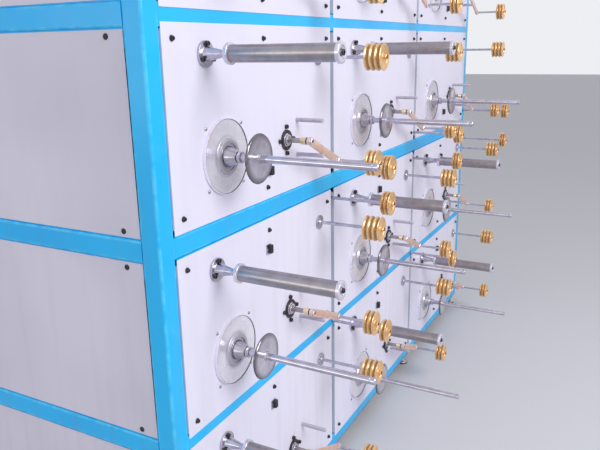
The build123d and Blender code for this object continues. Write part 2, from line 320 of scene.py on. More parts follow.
@dataclass(frozen=True)
class Metal:
    """Bare metal with the fine rings of its turning and some handling.

    Attributes:
        colour: the clean metal.
        shade: the metal where it is dull.
        roughness: least and greatest roughness.
        rings: turning rings per metre of profile.
        cut: strength of the rings' relief.
        deep: the radius where the painted shade is darkest and the one where it fades out, if the metal has
            any.
        painted_shade: colour of the painted shade and dark reflection at its darkest.
        bare: share that reflects as bare metal; the rest is dull as blasted metal is.
    """

    colour: Colour
    shade: Colour
    roughness: tuple[float, float] = (0.2, 0.35)
    rings: float = 900.0
    cut: float = 0.15
    deep: tuple[float, float] | None = None
    painted_shade: Colour = (90, 70, 50)
    bare: float = 1.0

    def build(self, name: str) -> bpy.types.Material:
        """Makes the material: rings across the profile, dull patches and painted shade over a span of radii.

        Args:
            name: the material's name.

        Returns:
            The material.
        """
        bench = Bench(name)
        marks, radius = bench.marks()
        rings = bench.noise(scale=1.0, detail=3.0, stretch=(self.rings, 0.0, 0.0), source=marks)
        dulled = bench.spread(bench.noise(scale=38.0, detail=5.0), 0.35, 0.7)
        colour = bench.blend(dulled, self.colour, self.shade)
        colour = bench.blend(bench.spread(rings, 0.5, 0.85, 0.0, 0.45), colour, self.shade)
        # Painted shade and dark reflection, darker across a span of radii: round the flange's hub, at the
        # disc's rim and in the pulleys' grooves.
        if self.deep is not None:
            depth = bench.spread(radius, self.deep[0], self.deep[1], 0.85, 0.0)
            colour = bench.blend(depth, colour, self.painted_shade)
        gloss = bench.spread(bench.noise(scale=55.0, detail=6.0), 0.32, 0.68, *self.roughness)
        bench.shader.inputs["Metallic"].default_value = self.bare
        return bench.done(colour, gloss, bench.bump(rings, 0.08 * MM, self.cut))


@dataclass(frozen=True)
class Dull:
    """Blackened steel, moulded plastic or rubber: a fine grain with lighter scuffs.

    Attributes:
        colour: the clean surface.
        scuff: the surface where it is worn.
        roughness: least and greatest roughness.
        grain: strength of the grain's relief.
    """

    colour: Colour
    scuff: Colour
    roughness: tuple[float, float] = (0.4, 0.6)
    grain: float = 0.2

    def build(self, name: str) -> bpy.types.Material:
        """Makes the material: scuffs in patches over an even grain.

        Args:
            name: the material's name.

        Returns:
            The material.
        """
        bench = Bench(name)
        scuffs = bench.spread(bench.noise(scale=85.0, detail=6.0), 0.5, 0.72, 0.0, 0.8)
        colour = bench.blend(scuffs, self.colour, self.scuff)
        gloss = bench.spread(bench.noise(scale=40.0, detail=3.0), 0.35, 0.65, *self.roughness)
        relief = bench.bump(bench.noise(scale=1500.0, detail=2.0), 0.12 * MM, self.grain)
        return bench.done(colour, gloss, relief)


class Finish(Enum):
    """The finishes of the cabinet and its fittings."""

    # The edge colour here is partly a painted highlight along the tubes' edges.
    FRAME_ENAMEL = Paint((2, 179, 247), (14, 190, 251), (84, 208, 250), (110, 134, 146), (0.28, 0.42),
                         peel=0.03, dust=0.3, specks=0.1, coat=0.12)
    # The seam posts' teal is painted shade: the blue posts darkened as seen in the narrow gaps between
    # panels.
    SEAM_ENAMEL = Paint((62, 150, 148), (78, 162, 160), (124, 184, 188), (100, 108, 112), (0.4, 0.55),
                        peel=0.06)
    PANEL_COAT = Paint((232, 229, 246), (228, 225, 243), (242, 240, 250), (180, 177, 186), (0.38, 0.43),
                       peel=0.02, wave=0.025, dust=0.25, specks=0.03)
    # The ends' paint is the panels' paint made darker: painted shade of the faces turned away from the front
    # light.
    END_COAT = Paint((218, 214, 228), (203, 199, 214), (238, 235, 246), (170, 167, 174), (0.54, 0.58),
                     peel=0.01, dust=0.2, specks=0.03)
    ZINC = Metal((196, 197, 204), (168, 169, 176), (0.35, 0.5), rings=300.0, cut=0.1)
    SHAFT_STEEL = Metal((208, 203, 216), (188, 183, 196), (0.12, 0.2), rings=1500.0, cut=0.04)
    PLAIN_STEEL = Metal((204, 200, 212), (172, 168, 180), (0.2, 0.32), cut=0.1)
    CAP_STEEL = Metal((236, 231, 243), (212, 207, 219), (0.16, 0.26), cut=0.1, bare=0.65)
    # Darker towards the hub: painted shadow and reflection of the hub and its ring.
    ALUMINIUM = Metal((250, 247, 255), (238, 235, 247), (0.18, 0.28), rings=700.0, cut=0.1,
                      deep=(41.0 * MM, 54.0 * MM), painted_shade=(176, 172, 182), bare=0.55)
    # Darker towards the rim: painted dark reflection in the disc's rim.
    DISC_STEEL = Metal((216, 211, 224), (184, 178, 191), (0.1, 0.18), rings=1100.0, cut=0.04,
                       deep=(58.2 * MM, 42.0 * MM), painted_shade=(92, 84, 88), bare=0.75)
    ROLLER_STEEL = Metal((174, 166, 169), (158, 150, 153), (0.28, 0.36), rings=1300.0, cut=0.08)
    # Darker in the grooves: painted shade in them.
    PULLEY_BRASS = Metal((250, 212, 158), (238, 190, 130), (0.2, 0.32), cut=0.12,
                         deep=(32.4 * MM, 36.4 * MM), painted_shade=(150, 106, 60), bare=0.7)
    BUSH_BRASS = Metal((246, 230, 196), (220, 200, 156), (0.2, 0.34), cut=0.2, bare=0.75)
    ARM_COPPER = Metal((244, 212, 196), (226, 190, 172), (0.28, 0.42), rings=500.0, cut=0.08, bare=0.6)
    BLACKED = Dull((38, 36, 40), (74, 72, 78), (0.38, 0.55), grain=0.2)
    BLOCK_PLASTIC = Dull((34, 34, 38), (60, 60, 66), (0.45, 0.6), grain=0.3)
    STOP_SLEEVE = Dull((190, 185, 200), (174, 169, 184), (0.35, 0.5), grain=0.15)
    FOOT_RUBBER = Dull((44, 44, 46), (80, 80, 80), (0.6, 0.75), grain=0.4)


class Shelf:
    """Keeps one material for each finish in use."""

    def __init__(self) -> None:
        """Starts empty."""
        self.made: dict[Finish, bpy.types.Material] = {}

    def take(self, finish: Finish) -> bpy.types.Material:
        """Looks up the material of a finish, which is made the first time it is asked for.

        Args:
            finish: the finish.

        Returns:
            Its material.
        """
        if finish not in self.made:
            self.made[finish] = finish.value.build(finish.name.lower())
        return self.made[finish]


# Surfaces


@dataclass(frozen=True)
class Patch:
    """A closed surface with its faces pointing outwards.

    Attributes:
        points: one row for each point.
        corners: point numbers of all faces, one after another.
        counts: how many corners each face has.
        marks: one row for each point: distance along the profile, then the radius on
            turned shapes or the nearness of an edge on bars, then the distance out.
    """

    points: Array
    corners: Array
    counts: Array
    marks: Array

    def moved(self, place: Sequence[float]) -> "Patch":
        """The patch shifted by a place."""
        return replace(self, points=self.points + np.asarray(place, float))

    def turned(self, turn: Sequence[Sequence[float]]) -> "Patch":
        """The patch with each point multiplied by a turning matrix, given as its rows."""
        return replace(self, points=self.points @ np.array(turn, float).T)

    def swung(self, angle: float) -> "Patch":
        """The patch turned about Y, from +X towards +Z, by an angle in radians."""
        c, s = np.cos(angle), np.sin(angle)
        return self.turned([(c, 0.0, -s), (0.0, 1.0, 0.0), (s, 0.0, c)])

    def repeated(self, places: Array) -> "Patch":
        """Copies of the patch: point i of copy k is place k plus point i.

        Args:
            places: one row for each copy.

        Returns:
            All copies as one patch.
        """
        places = np.atleast_2d(np.asarray(places, float))
        copies, size = len(places), len(self.points)
        points = (places[:, None] + self.points[None]).reshape(-1, 3)
        corners = (self.corners[None] + size * np.arange(copies)[:, None]).ravel()
        return Patch(points, corners, np.tile(self.counts, copies), np.tile(self.marks, (copies, 1)))


def joined(patches: Sequence[Patch]) -> Patch:
    """Lays patches side by side in one, with their point numbers carried on.

    Args:
        patches: the patches.

    Returns:
        All of them as one patch.
    """
    sizes = np.cumsum([0] + [len(patch.points) for patch in patches[:-1]])
    corners = [patch.corners + start for patch, start in zip(patches, sizes)]
    return Patch(np.vstack([patch.points for patch in patches]), np.concatenate(corners),
                 np.concatenate([patch.counts for patch in patches]),
                 np.vstack([patch.marks for patch in patches]))


def outward(points: Array, corners: Array, counts: Array, marks: Array) -> Patch:
    """Makes a patch whose faces point outwards.

    The enclosed volume is the sum, over fans of triangles, of a sixth of the first corner
    dotted with the cross of the other two. Where it is negative every face is reversed.

    Args:
        points: one row for each point.
        corners: point numbers of all faces.
        counts: corners of each face.
        marks: one row for each point.

    Returns:
        The patch.
    """
    start = np.repeat(np.cumsum(counts) - counts, counts)
    step = np.arange(len(corners)) - start
    size = np.repeat(counts, counts)
    inner = np.flatnonzero((step >= 1) & (step < size - 1))
    fan = [points[corners[row]] - points[0] for row in (start[inner], inner, inner + 1)]
    if np.einsum("ij,ij->", fan[0], np.cross(fan[1], fan[2])) < 0:
        corners = corners[start + size - 1 - step]
    return Patch(points, corners, counts, marks)


def loft(rings: Array, marks: Array, hollow: bool = False) -> Patch:
    """A surface over a grid: point (u, v) is point v of ring u, and each ring is closed.

    Args:
        rings: rings x points x 3.
        marks: the same shape, with each point's marks.
        hollow: the last ring meets the first; otherwise each end is closed by a flat face.

    Returns:
        The patch.
    """
    rows, columns, _ = rings.shape
    index = np.arange(rows * columns).reshape(rows, columns)
    here = index if hollow else index[:-1]
    above = np.roll(index, -1, axis=0) if hollow else index[1:]
    quads = np.stack([here, np.roll(here, -1, axis=1), np.roll(above, -1, axis=1), above], axis=-1)
    corners, counts = quads.ravel(), np.full(quads.size // 4, 4)
    if not hollow:
        corners = np.concatenate([corners, index[0][::-1], index[-1]])
        counts = np.concatenate([counts, [columns, columns]])
    return outward(rings.reshape(-1, 3), corners, counts, marks.reshape(-1, 3))


def softened(profile: Sequence[Sequence[float]], radius: float, hollow: bool = False,
             steps: int = 3) -> Array:
    """Rounds a profile's corners.

    A corner becomes the curve (1-t)^2 a + 2t(1-t) p + t^2 b, from a before it to b after it,
    both set back by the radius or 0.4 of the shorter side.

    Args:
        profile: (radius, out) pairs.
        radius: set-back from each corner.
        hollow: the profile is a closed loop.
        steps: spans of each curve.

    Returns:
        The rounded profile.
    """
    line = np.asarray(profile, float)
    if hollow:
        before, corner, after = np.roll(line, 1, axis=0), line, np.roll(line, -1, axis=0)
    else:
        before, corner, after = line[:-2], line[1:-1], line[2:]
    back = np.linalg.norm(before - corner, axis=1, keepdims=True)
    ahead = np.linalg.norm(after - corner, axis=1, keepdims=True)
    cut = np.minimum(radius, 0.4 * np.minimum(back, ahead))
    first = (corner + (before - corner) / back * cut)[:, None]
    last = (corner + (after - corner) / ahead * cut)[:, None]
    t = np.linspace(0.0, 1.0, steps + 1)[None, :, None]
    curve = (1 - t) ** 2 * first + 2 * t * (1 - t) * corner[:, None] + t ** 2 * last
    curve = curve.reshape(-1, 2)
    return curve if hollow else np.vstack([line[:1], curve, line[-1:]])


def lathe(profile: Array | Sequence[Sequence[float]], sides: int = 48, hollow: bool = False,
          upright: bool = False) -> Patch:
    """A turned shape: point (u, v) is radius(u) at angle v round the axis, at out(u) along it.

    Args:
        profile: (radius, out) pairs.
        sides: points round the axis.
        hollow: the profile is a closed loop round a bore.
        upright: the axis is +Z; otherwise it is -Y.

    Returns:
        The patch.
    """
    line = np.asarray(profile, float)
    radius, out = line[:, :1], line[:, 1:]
    angle = 2 * np.pi * np.arange(sides)[None] / sides
    across, along = radius * np.cos(angle), np.repeat(out, sides, axis=1)
    aside = radius * np.sin(angle)
    axes = [across, aside, along] if upright else [across, -along, aside]
    length = np.concatenate([[0.0], np.cumsum(np.linalg.norm(np.diff(line, axis=0), axis=1))])
    marks = [np.repeat(length[:, None], sides, axis=1), np.repeat(radius, sides, axis=1), along]
    return loft(np.stack(axes, axis=-1), np.stack(marks, axis=-1), hollow)


def bar(low: Sequence[float], high: Sequence[float], along: str, corner: float,
        edge: float = 0.0, margin: float = 2.5 * MM) -> Patch:
    """A rounded bar or sheet that fills a box.

    Ring u is a rectangle with rounded corners, drawn in by inset(u), at place(u) along the
    axis. Over each rounded end the inset is edge (1 - sin b) and the set-back edge (1 - cos b)
    for b from 0 to a quarter turn. The middle mark is 1 on rounded edges and 0 on flats, both
    end faces among them.

    Args:
        low: the box's lowest corner.
        high: the box's highest corner.
        along: the axis, x, y or z.
        corner: radius of the four long edges.
        edge: radius of the edges of both ends, 0 for a plain cut.
        margin: width over which the mark fades beside an edge.

    Returns:
        The patch.
    """
    low, high = np.asarray(low, float), np.asarray(high, float)
    axis = "xyz".index(along)
    first, second = (axis + 1) % 3, (axis + 2) % 3
    middle, half = (low + high) / 2, (high - low) / 2
    corner = min(corner, 0.98 * half[first], 0.98 * half[second])
    margin = min(margin, 0.4 * (min(half[first], half[second]) - corner), 0.3 * half[axis])
    bend = np.linspace(0.0, np.pi / 2, 4) if edge else np.array([np.pi / 2])
    inset = np.concatenate([[edge + margin], edge * (1 - np.sin(bend)), [0.0]])
    back = np.concatenate([[0.0], edge * (1 - np.cos(bend)), [edge + margin]])
    rim = np.concatenate([[0.0], np.full(len(bend), 1.0 if edge else 0.0), [0.0]])
    inset, rim = np.concatenate([inset, inset[::-1]]), np.concatenate([rim, rim[::-1]])
    place = np.concatenate([back - half[axis], (half[axis] - back)[::-1]])

    arc = [0.0, 0.25, 0.5, 0.75, 1.0]
    quarter = np.repeat(np.arange(4), len(arc) + 2) * np.pi / 2
    turn = quarter + np.tile([0.0, *arc, 1.0], 4) * np.pi / 2
    slide = np.tile([-1.0, *[0.0] * len(arc), 1.0], 4) * margin
    sign = {first: np.sign(np.cos(quarter + np.pi / 4)), second: np.sign(np.sin(quarter + np.pi / 4))}
    radius = np.maximum(corner - inset, 0.05 * MM)[:, None]
    core = {side: half[side] - inset[:, None] - radius for side in (first, second)}
    sine, cosine = np.sin(turn), np.cos(turn)
    rings = np.empty((len(place), len(turn), 3))
    rings[..., axis] = middle[axis] + place[:, None]
    rings[..., first] = middle[first] + core[first] * sign[first] + radius * cosine - slide * sine
    rings[..., second] = middle[second] + core[second] * sign[second] + radius * sine + slide * cosine
    marks = np.zeros_like(rings)
    marks[..., 0] = place[:, None]
    marks[..., 1] = np.maximum(rim[:, None], (slide == 0)[None] * 1.0)
    marks[[0, -1], :, 1] = 0.0
    return loft(rings, marks)


def rod_between(start: Sequence[float], end: Sequence[float], radius: float, sides: int = 20) -> Patch:
    """A round rod: a circle carried along a straight line, drawn in at both ends.

    Args:
        start: centre of one end.
        end: centre of the other.
        radius: the rod's radius.
        sides: points of the circle.

    Returns:
        The patch.
    """
    start, end = np.asarray(start, float), np.asarray(end, float)
    length = np.linalg.norm(end - start)
    ahead = (end - start) / length
    helper = np.array([0.0, 0.0, 1.0]) if abs(ahead[2]) < 0.9 else np.array([1.0, 0.0, 0.0])
    side = np.cross(ahead, helper)
    side /= np.linalg.norm(side)
    up = np.cross(side, ahead)
    lip = 0.15 * radius
    place = np.array([0.0, lip, length - lip, length])[:, None, None]
    reach = np.array([radius - lip, radius, radius, radius - lip])[:, None, None]
    angle = (2 * np.pi * np.arange(sides) / sides)[None, :, None]
    rings = start + place * ahead + reach * (np.cos(angle) * side + np.sin(angle) * up)
    marks = np.zeros_like(rings)
    marks[..., 0], marks[..., 1] = place[..., 0], radius
    return loft(rings, marks)


def socket_bolt(radius: float, reach: float, sides: int = 16) -> Patch:
    """A cap-head bolt with a round socket, its seat at out 0.

    Args:
        radius: of the head.
        reach: height of the head.
        sides: points round the axis.

    Returns:
        The patch.
    """
    profile = [(radius, 0.0), (radius, reach - 0.12 * radius), (0.88 * radius, reach),
               (0.52 * radius, reach), (0.48 * radius, 0.45 * reach)]
    return lathe(profile, sides)


def panel_screw(reach: float = 6.4 * MM) -> Patch:
    """A washer-head screw: radii in millimetres, heights in shares of the reach above its seat."""
    profile = [(6.8, 0.0), (6.8, 0.22), (5.3, 0.27), (5.0, 0.84), (4.2, 1.0), (2.7, 1.0), (2.5, 0.6)]
    return lathe(np.array(profile) * (MM, reach), 10)


def mm(*pairs: tuple[float, float]) -> Array:
    """An outline's (radius, out) pairs, given in millimetres, in metres."""
    return np.array(pairs, float) * MM


def on_circle(orbit: float, degrees: Sequence[float]) -> Array:
    """Places round the origin, seen from the front: the orbit times (cos a, 0, sin a) at each angle a."""
    angle = np.radians(degrees)
    return orbit * np.stack([np.cos(angle), np.zeros(len(angle)), np.sin(angle)], axis=1)


def nut(radius: float, reach: float) -> Patch:
    """A six-sided nut with its end edges taken off, its seat at out 0."""
    cut = 0.1 * radius
    return lathe([(radius - cut, 0.0), (radius, cut), (radius, reach - cut), (radius - cut, reach)], 6)


# Pieces


Dressed = list[tuple[Patch, Finish]]


def shifted(parts: Dressed, place: Sequence[float]) -> Dressed:
    """The same surfaces and finishes, shifted by a place."""
    return [(patch.moved(place), finish) for patch, finish in parts]


def copied(parts: Dressed, places: Array) -> Dressed:
    """The same surfaces and finishes, repeated at each place."""
    return [(patch.repeated(places), finish) for patch, finish in parts]


@dataclass
class Piece:
    """One named object made of closed surfaces.

    Attributes:
        name: the object's name.
        body: the CAD body that it rides on.
        slot: the record's material slot that its main finish stands for; not used.
        surfaces: each surface with its finish.
        stands_for: CAD nodes that it replaces.
        crease: edges bent by more degrees than this stay sharp.
    """

    name: str
    body: str
    slot: str
    surfaces: Dressed
    stands_for: tuple[str, ...] = ()
    crease: float = 38.0

    def make(self, shelf: Shelf) -> None:
        """Builds the mesh, dresses it and hangs it on its body.

        Args:
            shelf: where the materials are kept.
        """
        whole = joined([patch for patch, _ in self.surfaces])
        finishes = list(dict.fromkeys(finish for _, finish in self.surfaces))
        faces = [len(patch.counts) for patch, _ in self.surfaces]
        slots = np.repeat([finishes.index(finish) for _, finish in self.surfaces], faces)
        mesh = bpy.data.meshes.new(self.name)
        mesh.vertices.add(len(whole.points))
        mesh.vertices.foreach_set("co", whole.points.astype(np.float32).ravel())
        mesh.loops.add(len(whole.corners))
        mesh.loops.foreach_set("vertex_index", whole.corners.astype(np.int32))
        mesh.polygons.add(len(whole.counts))
        starts = np.cumsum(whole.counts) - whole.counts
        mesh.polygons.foreach_set("loop_start", starts.astype(np.int32))
        for finish in finishes:
            mesh.materials.append(shelf.take(finish))
        mesh.polygons.foreach_set("material_index", slots.astype(np.int32))
        mesh.polygons.foreach_set("use_smooth", np.ones(len(whole.counts), bool))
        marks = mesh.attributes.new("marks", "FLOAT_VECTOR", "POINT")
        marks.data.foreach_set("vector", whole.marks.astype(np.float32).ravel())
        mesh.update(calc_edges=True)
        mesh.validate()
        mesh.set_sharp_from_angle(angle=np.radians(self.crease))
        thing = bpy.data.objects.new(self.name, mesh)
        bpy.context.scene.collection.objects.link(thing)
        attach(thing, self.body)
        if self.stands_for:
            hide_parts(*self.stands_for)
        LOG.info("%s: %d faces on %s", self.name, len(whole.counts), self.body)


def solid_boxes(node: str) -> Array:
    """The boxes of a CAD node's separate solids.

    Each corner place starts with its own number, and every triangle passes the lowest of
    its three on to the others until none changes; corners with one number are one solid.

    Args:
        node: the CAD node's name.

    Returns:
        solids x 2 x 3: lowest and highest corners, ordered by height, then from left to right.
    """
    mesh = frame["nodes"][node].data
    mesh.calc_loop_triangles()
    points = np.empty(len(mesh.vertices) * 3, np.float32)
    mesh.vertices.foreach_get("co", points)
    corners = np.empty(len(mesh.loop_triangles) * 3, np.int32)
    mesh.loop_triangles.foreach_get("vertices", corners)
    points = points.reshape(-1, 3).astype(float)
    _, same = np.unique(np.round(points / SAME_CORNER).astype(np.int64), axis=0, return_inverse=True)
    same = same.ravel()
    triangles = same[corners].reshape(-1, 3)
    label = np.arange(same.max() + 1)
    while True:
        lower = label.copy()
        np.minimum.at(lower, triangles.ravel(), np.repeat(label[triangles].min(axis=1), 3))
        lower = lower[lower]
        if (lower == label).all():
            break
        label = lower
    _, group = np.unique(label[same], return_inverse=True)
    boxes = np.empty((group.max() + 1, 2, 3))
    boxes[:, 0], boxes[:, 1] = np.inf, -np.inf
    np.minimum.at(boxes[:, 0], group, points)
    np.maximum.at(boxes[:, 1], group, points)
    order = np.lexsort((np.round(boxes[:, 0, 0], 3), np.round(boxes[:, 0, 2], 3)))
    return boxes[order]


@dataclass(frozen=True)
class Cell:
    """One winding cell: its name and where its spindle and dancer pivot meet the panel."""

    name: str
    spindle: Array
    pivot: Array


def read_cells() -> list[Cell]:
    """Reads the twelve cells from the frame's joints.

    Returns:
        The cells, in the order of their names.
    """
    where = {joint["name"]: np.array(joint["pos_m"], float) for joint in frame["joints"]}
    turns = sorted(name for name in where if name.startswith("spindle_turn_"))
    names = [turn.removeprefix("spindle_turn_") for turn in turns]
    return [Cell(name, where["spindle_turn_" + name], where["dancer_swing_" + name]) for name in names]


def face_of_panels() -> float:
    """Y of the front panels' face."""
    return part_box("front_panels_tier_1")[0].y


def on_face(node: str) -> Array:
    """Reads where a node's like solids stand on the front panels' face.

    Args:
        node: the CAD node's name.

    Returns:
        One place for each solid.
    """
    places = solid_boxes(node).mean(axis=1)
    places[:, 1] = face_of_panels()
    return places


# Cabinet


@dataclass
class TubeFrame:
    """Welded square tubes, with ground welds at the joints that show.

    Attributes:
        corner: outside radius of the tubes' edges.
        weld: width of a ground weld beside a joint.
        weld_lap: how far it reaches over the post, as a share of the edges' radius.
        weld_sunk: how far it lies behind the tubes' faces.
        weld_short: how far it ends from a rail's edges.
    """

    corner: float = 5.0 * MM
    weld: float = 7.0 * MM
    weld_lap: float = 0.8
    weld_sunk: float = 0.15 * MM
    weld_short: float = 1.5 * MM

    def tubes(self, node: str, name: str, along: str, finish: Finish, slot: str) -> Piece:
        """Rounded bars in the boxes of one node's solids."""
        bars = [bar(low, high, along, self.corner) for low, high in solid_boxes(node)]
        return Piece(name, CABINET, slot, [(joined(bars), finish)], (node,))

    def welds(self) -> Piece:
        """Fills the notch between each front rail's end and its corner post with a ground weld.

        Returns:
            All welds as one piece.
        """
        strips = []
        for low, high in solid_boxes("front_rails"):
            for x, side in ((low[0], 1.0), (high[0], -1.0)):
                left, right = sorted((x - side * self.weld_lap * self.corner, x + side * self.weld))
                strips.append(bar((left, low[1] + self.weld_sunk, low[2] + self.weld_short),
                                  (right, low[1] + self.corner, high[2] - self.weld_short), "z", 1.0 * MM))
        return Piece("frame_welds", CABINET, "frame_blue", [(joined(strips), Finish.FRAME_ENAMEL)])

    def pieces(self) -> list[Piece]:
        """Builds the frame.

        Returns:
            All tubes and welds.
        """
        blue, slot = Finish.FRAME_ENAMEL, "frame_blue"
        return [
            self.tubes("corner_posts", "corner_post_tubes", "z", blue, slot),
            self.tubes("front_rails", "front_rail_tubes", "x", blue, slot),
            self.tubes("back_rails", "back_rail_tubes", "x", blue, slot),
            self.tubes("end_rails", "end_rail_tubes", "y", blue, slot),
            # Seam posts in a darker teal: painted shade of the narrow gaps.
            self.tubes("seam_posts", "seam_post_tubes", "z", Finish.SEAM_ENAMEL, "frame_teal"),
            self.welds(),
        ]


@dataclass
class SheetPanels:
    """Screwed sheet panels of the front, back, ends, top and base.

    Attributes:
        sheet: thickness of the sheet.
        edges: of an upright skin: corner radius, edge radius and width of the worn margin.
        level_edges: the same of the top and base sheets.
        lap: how far the skin stands past its folds at top and bottom.
        bend: how far a fold starts inside the skin, and the radius of its edges.
        inset: screws from a panel's edges.
        end_inset: screws of an end panel from its upright edges and from its level edges.
        end_gap: between an end panel and the tubes round it.
        end_bar: height of the bars behind an end panel.
        end_head: height of an end panel's screws, which stay behind the posts' faces.
        back_head: height of a back panel's screws; the back's skin is pressed in by as much.
    """

    sheet: float = 2.0 * MM
    edges: tuple[float, float, float] = (1.2 * MM, 0.8 * MM, 1.5 * MM)
    level_edges: tuple[float, float, float] = (4.0 * MM, 0.6 * MM, 1.5 * MM)
    lap: float = 13.0 * MM
    bend: float = 0.5 * MM
    inset: float = 32.0 * MM
    end_inset: tuple[float, float] = (48.0 * MM, 16.0 * MM)
    end_gap: float = 3.0 * MM
    end_bar: float = 40.0 * MM
    end_head: float = 2.8 * MM
    back_head: float = 1.4 * MM

    def tray(self, box: Array, outer: float, inward: float) -> Patch:
        """A skin with rounded edges, and the two sides folded back behind it.

        Args:
            box: the panel's lowest and highest corner.
            outer: Y of the skin's outer face.
            inward: +1 or -1, the way into the cabinet along Y.

        Returns:
            The panel's surfaces.
        """
        low, high = box
        inner = outer + inward * self.sheet
        deep = high[1] if inward > 0 else low[1]
        skin_y, fold_y = sorted((outer, inner)), sorted((inner - inward * self.bend, deep))
        skin = bar((low[0], skin_y[0], low[2]), (high[0], skin_y[1], high[2]), "y", *self.edges)
        folds = [bar((x, fold_y[0], low[2] + self.lap), (x + self.sheet, fold_y[1], high[2] - self.lap),
                     "z", self.bend) for x in (low[0], high[0] - self.sheet)]
        return joined([skin, *folds])

    def screw_places(self, boxes: Array, y: float) -> Array:
        """Sets six screws on each panel: at its corners and midway along its top and bottom edges.

        Args:
            boxes: the panels' lowest and highest corners.
            y: of the face that the screws sit on.

        Returns:
            One place for each screw.
        """
        low, high = boxes[:, 0], boxes[:, 1]
        left, right = low[:, 0] + self.inset, high[:, 0] - self.inset
        columns = np.stack([left, (left + right) / 2, right], axis=1)
        rows = np.stack([low[:, 2] + self.inset, high[:, 2] - self.inset], axis=1)
        x = np.repeat(columns, 2, axis=1).ravel()
        z = np.tile(rows, (1, 3)).ravel()
        return np.stack([x, np.full_like(x, y), z], axis=1)

    def front(self) -> list[Piece]:
        """Builds the front.

        Returns:
            The panels, one piece for each tier, and their screws.
        """
        made, boxes = [], []
        outer = face_of_panels()
        for tier in range(1, 5):
            node = f"front_panels_tier_{tier}"
            boxes.append(solid_boxes(node))
            trays = joined([self.tray(box, outer, 1.0) for box in boxes[-1]])
            made.append(Piece(f"front_sheets_tier_{tier}", CABINET, "panel_paint",
                              [(trays, Finish.PANEL_COAT)], (node,)))
        screws = panel_screw().repeated(self.screw_places(np.concatenate(boxes), outer))
        made.append(Piece("front_panel_screws", CABINET, "bracket_black", [(screws, Finish.BLACKED)]))
        return made

    def back(self) -> list[Piece]:
        """Builds the back.

        Returns:
            The panels and their screws.
        """
        boxes = solid_boxes("back_panels")
        outer = boxes[:, 1, 1].max() - self.back_head
        trays = joined([self.tray(box, outer, -1.0) for box in boxes])
        screw = panel_screw(self.back_head).turned([(-1, 0, 0), (0, -1, 0), (0, 0, 1)])
        screws = screw.repeated(self.screw_places(boxes, outer))
        return [
            Piece("back_sheets", CABINET, "panel_paint", [(trays, Finish.PANEL_COAT)], ("back_panels",)),
            Piece("back_panel_screws", CABINET, "bracket_black", [(screws, Finish.BLACKED)]),
        ]

    def end(self, side: str, outward_x: float) -> Piece:
        """One end's inset panels, the bars behind them and their screws.

        Args:
            side: left or right.
            outward_x: -1 for the left end and +1 for the right.

        Returns:
            The piece.
        """
        node, gap = f"{side}_end_panels", self.end_gap
        in_y, in_z = self.end_inset
        skins, bars, places = [], [], []
        for low, high in solid_boxes(node):
            face, back = (low[0], high[0]) if outward_x < 0 else (high[0], low[0])
            inner = face - outward_x * self.sheet
            x0, x1 = sorted((face, inner))
            skins.append(bar((x0, low[1] + gap, low[2] + gap), (x1, high[1] - gap, high[2] - gap),
                             "x", *self.edges))
            x0, x1 = sorted((inner, back))
            for z in (low[2], high[2] - self.end_bar):
                bars.append(bar((x0, low[1], z), (x1, high[1], z + self.end_bar), "y", 0.8 * MM))
            places += [(face, y, z) for y in (low[1] + in_y, high[1] - in_y)
                       for z in (low[2] + in_z, high[2] - in_z)]
        head = panel_screw(self.end_head).turned([(0, -outward_x, 0), (outward_x, 0, 0), (0, 0, 1)])
        # The end skins' darker paint is painted shade.
        surfaces = [(joined(skins), Finish.END_COAT), (joined(bars), Finish.FRAME_ENAMEL),
                    (head.repeated(np.array(places)), Finish.BLACKED)]
        return Piece(f"{side}_end_sheets", CABINET, "end_panel_paint", surfaces, (node,))

    def level(self, node: str, name: str, finish: Finish, slot: str) -> Piece:
        """The top or base sheet, which fills its CAD node's box."""
        sheet = bar(*solid_boxes(node)[0], "z", *self.level_edges)
        return Piece(name, CABINET, slot, [(sheet, finish)], (node,))

    def pieces(self) -> list[Piece]:
        """All sheets with their screws."""
        return [*self.front(), *self.back(), self.end("left", -1.0), self.end("right", 1.0),
                self.level("top_panel", "top_sheet", Finish.PANEL_COAT, "panel_paint"),
                self.level("base_panel", "base_sheet", Finish.ZINC, "zinc_steel")]


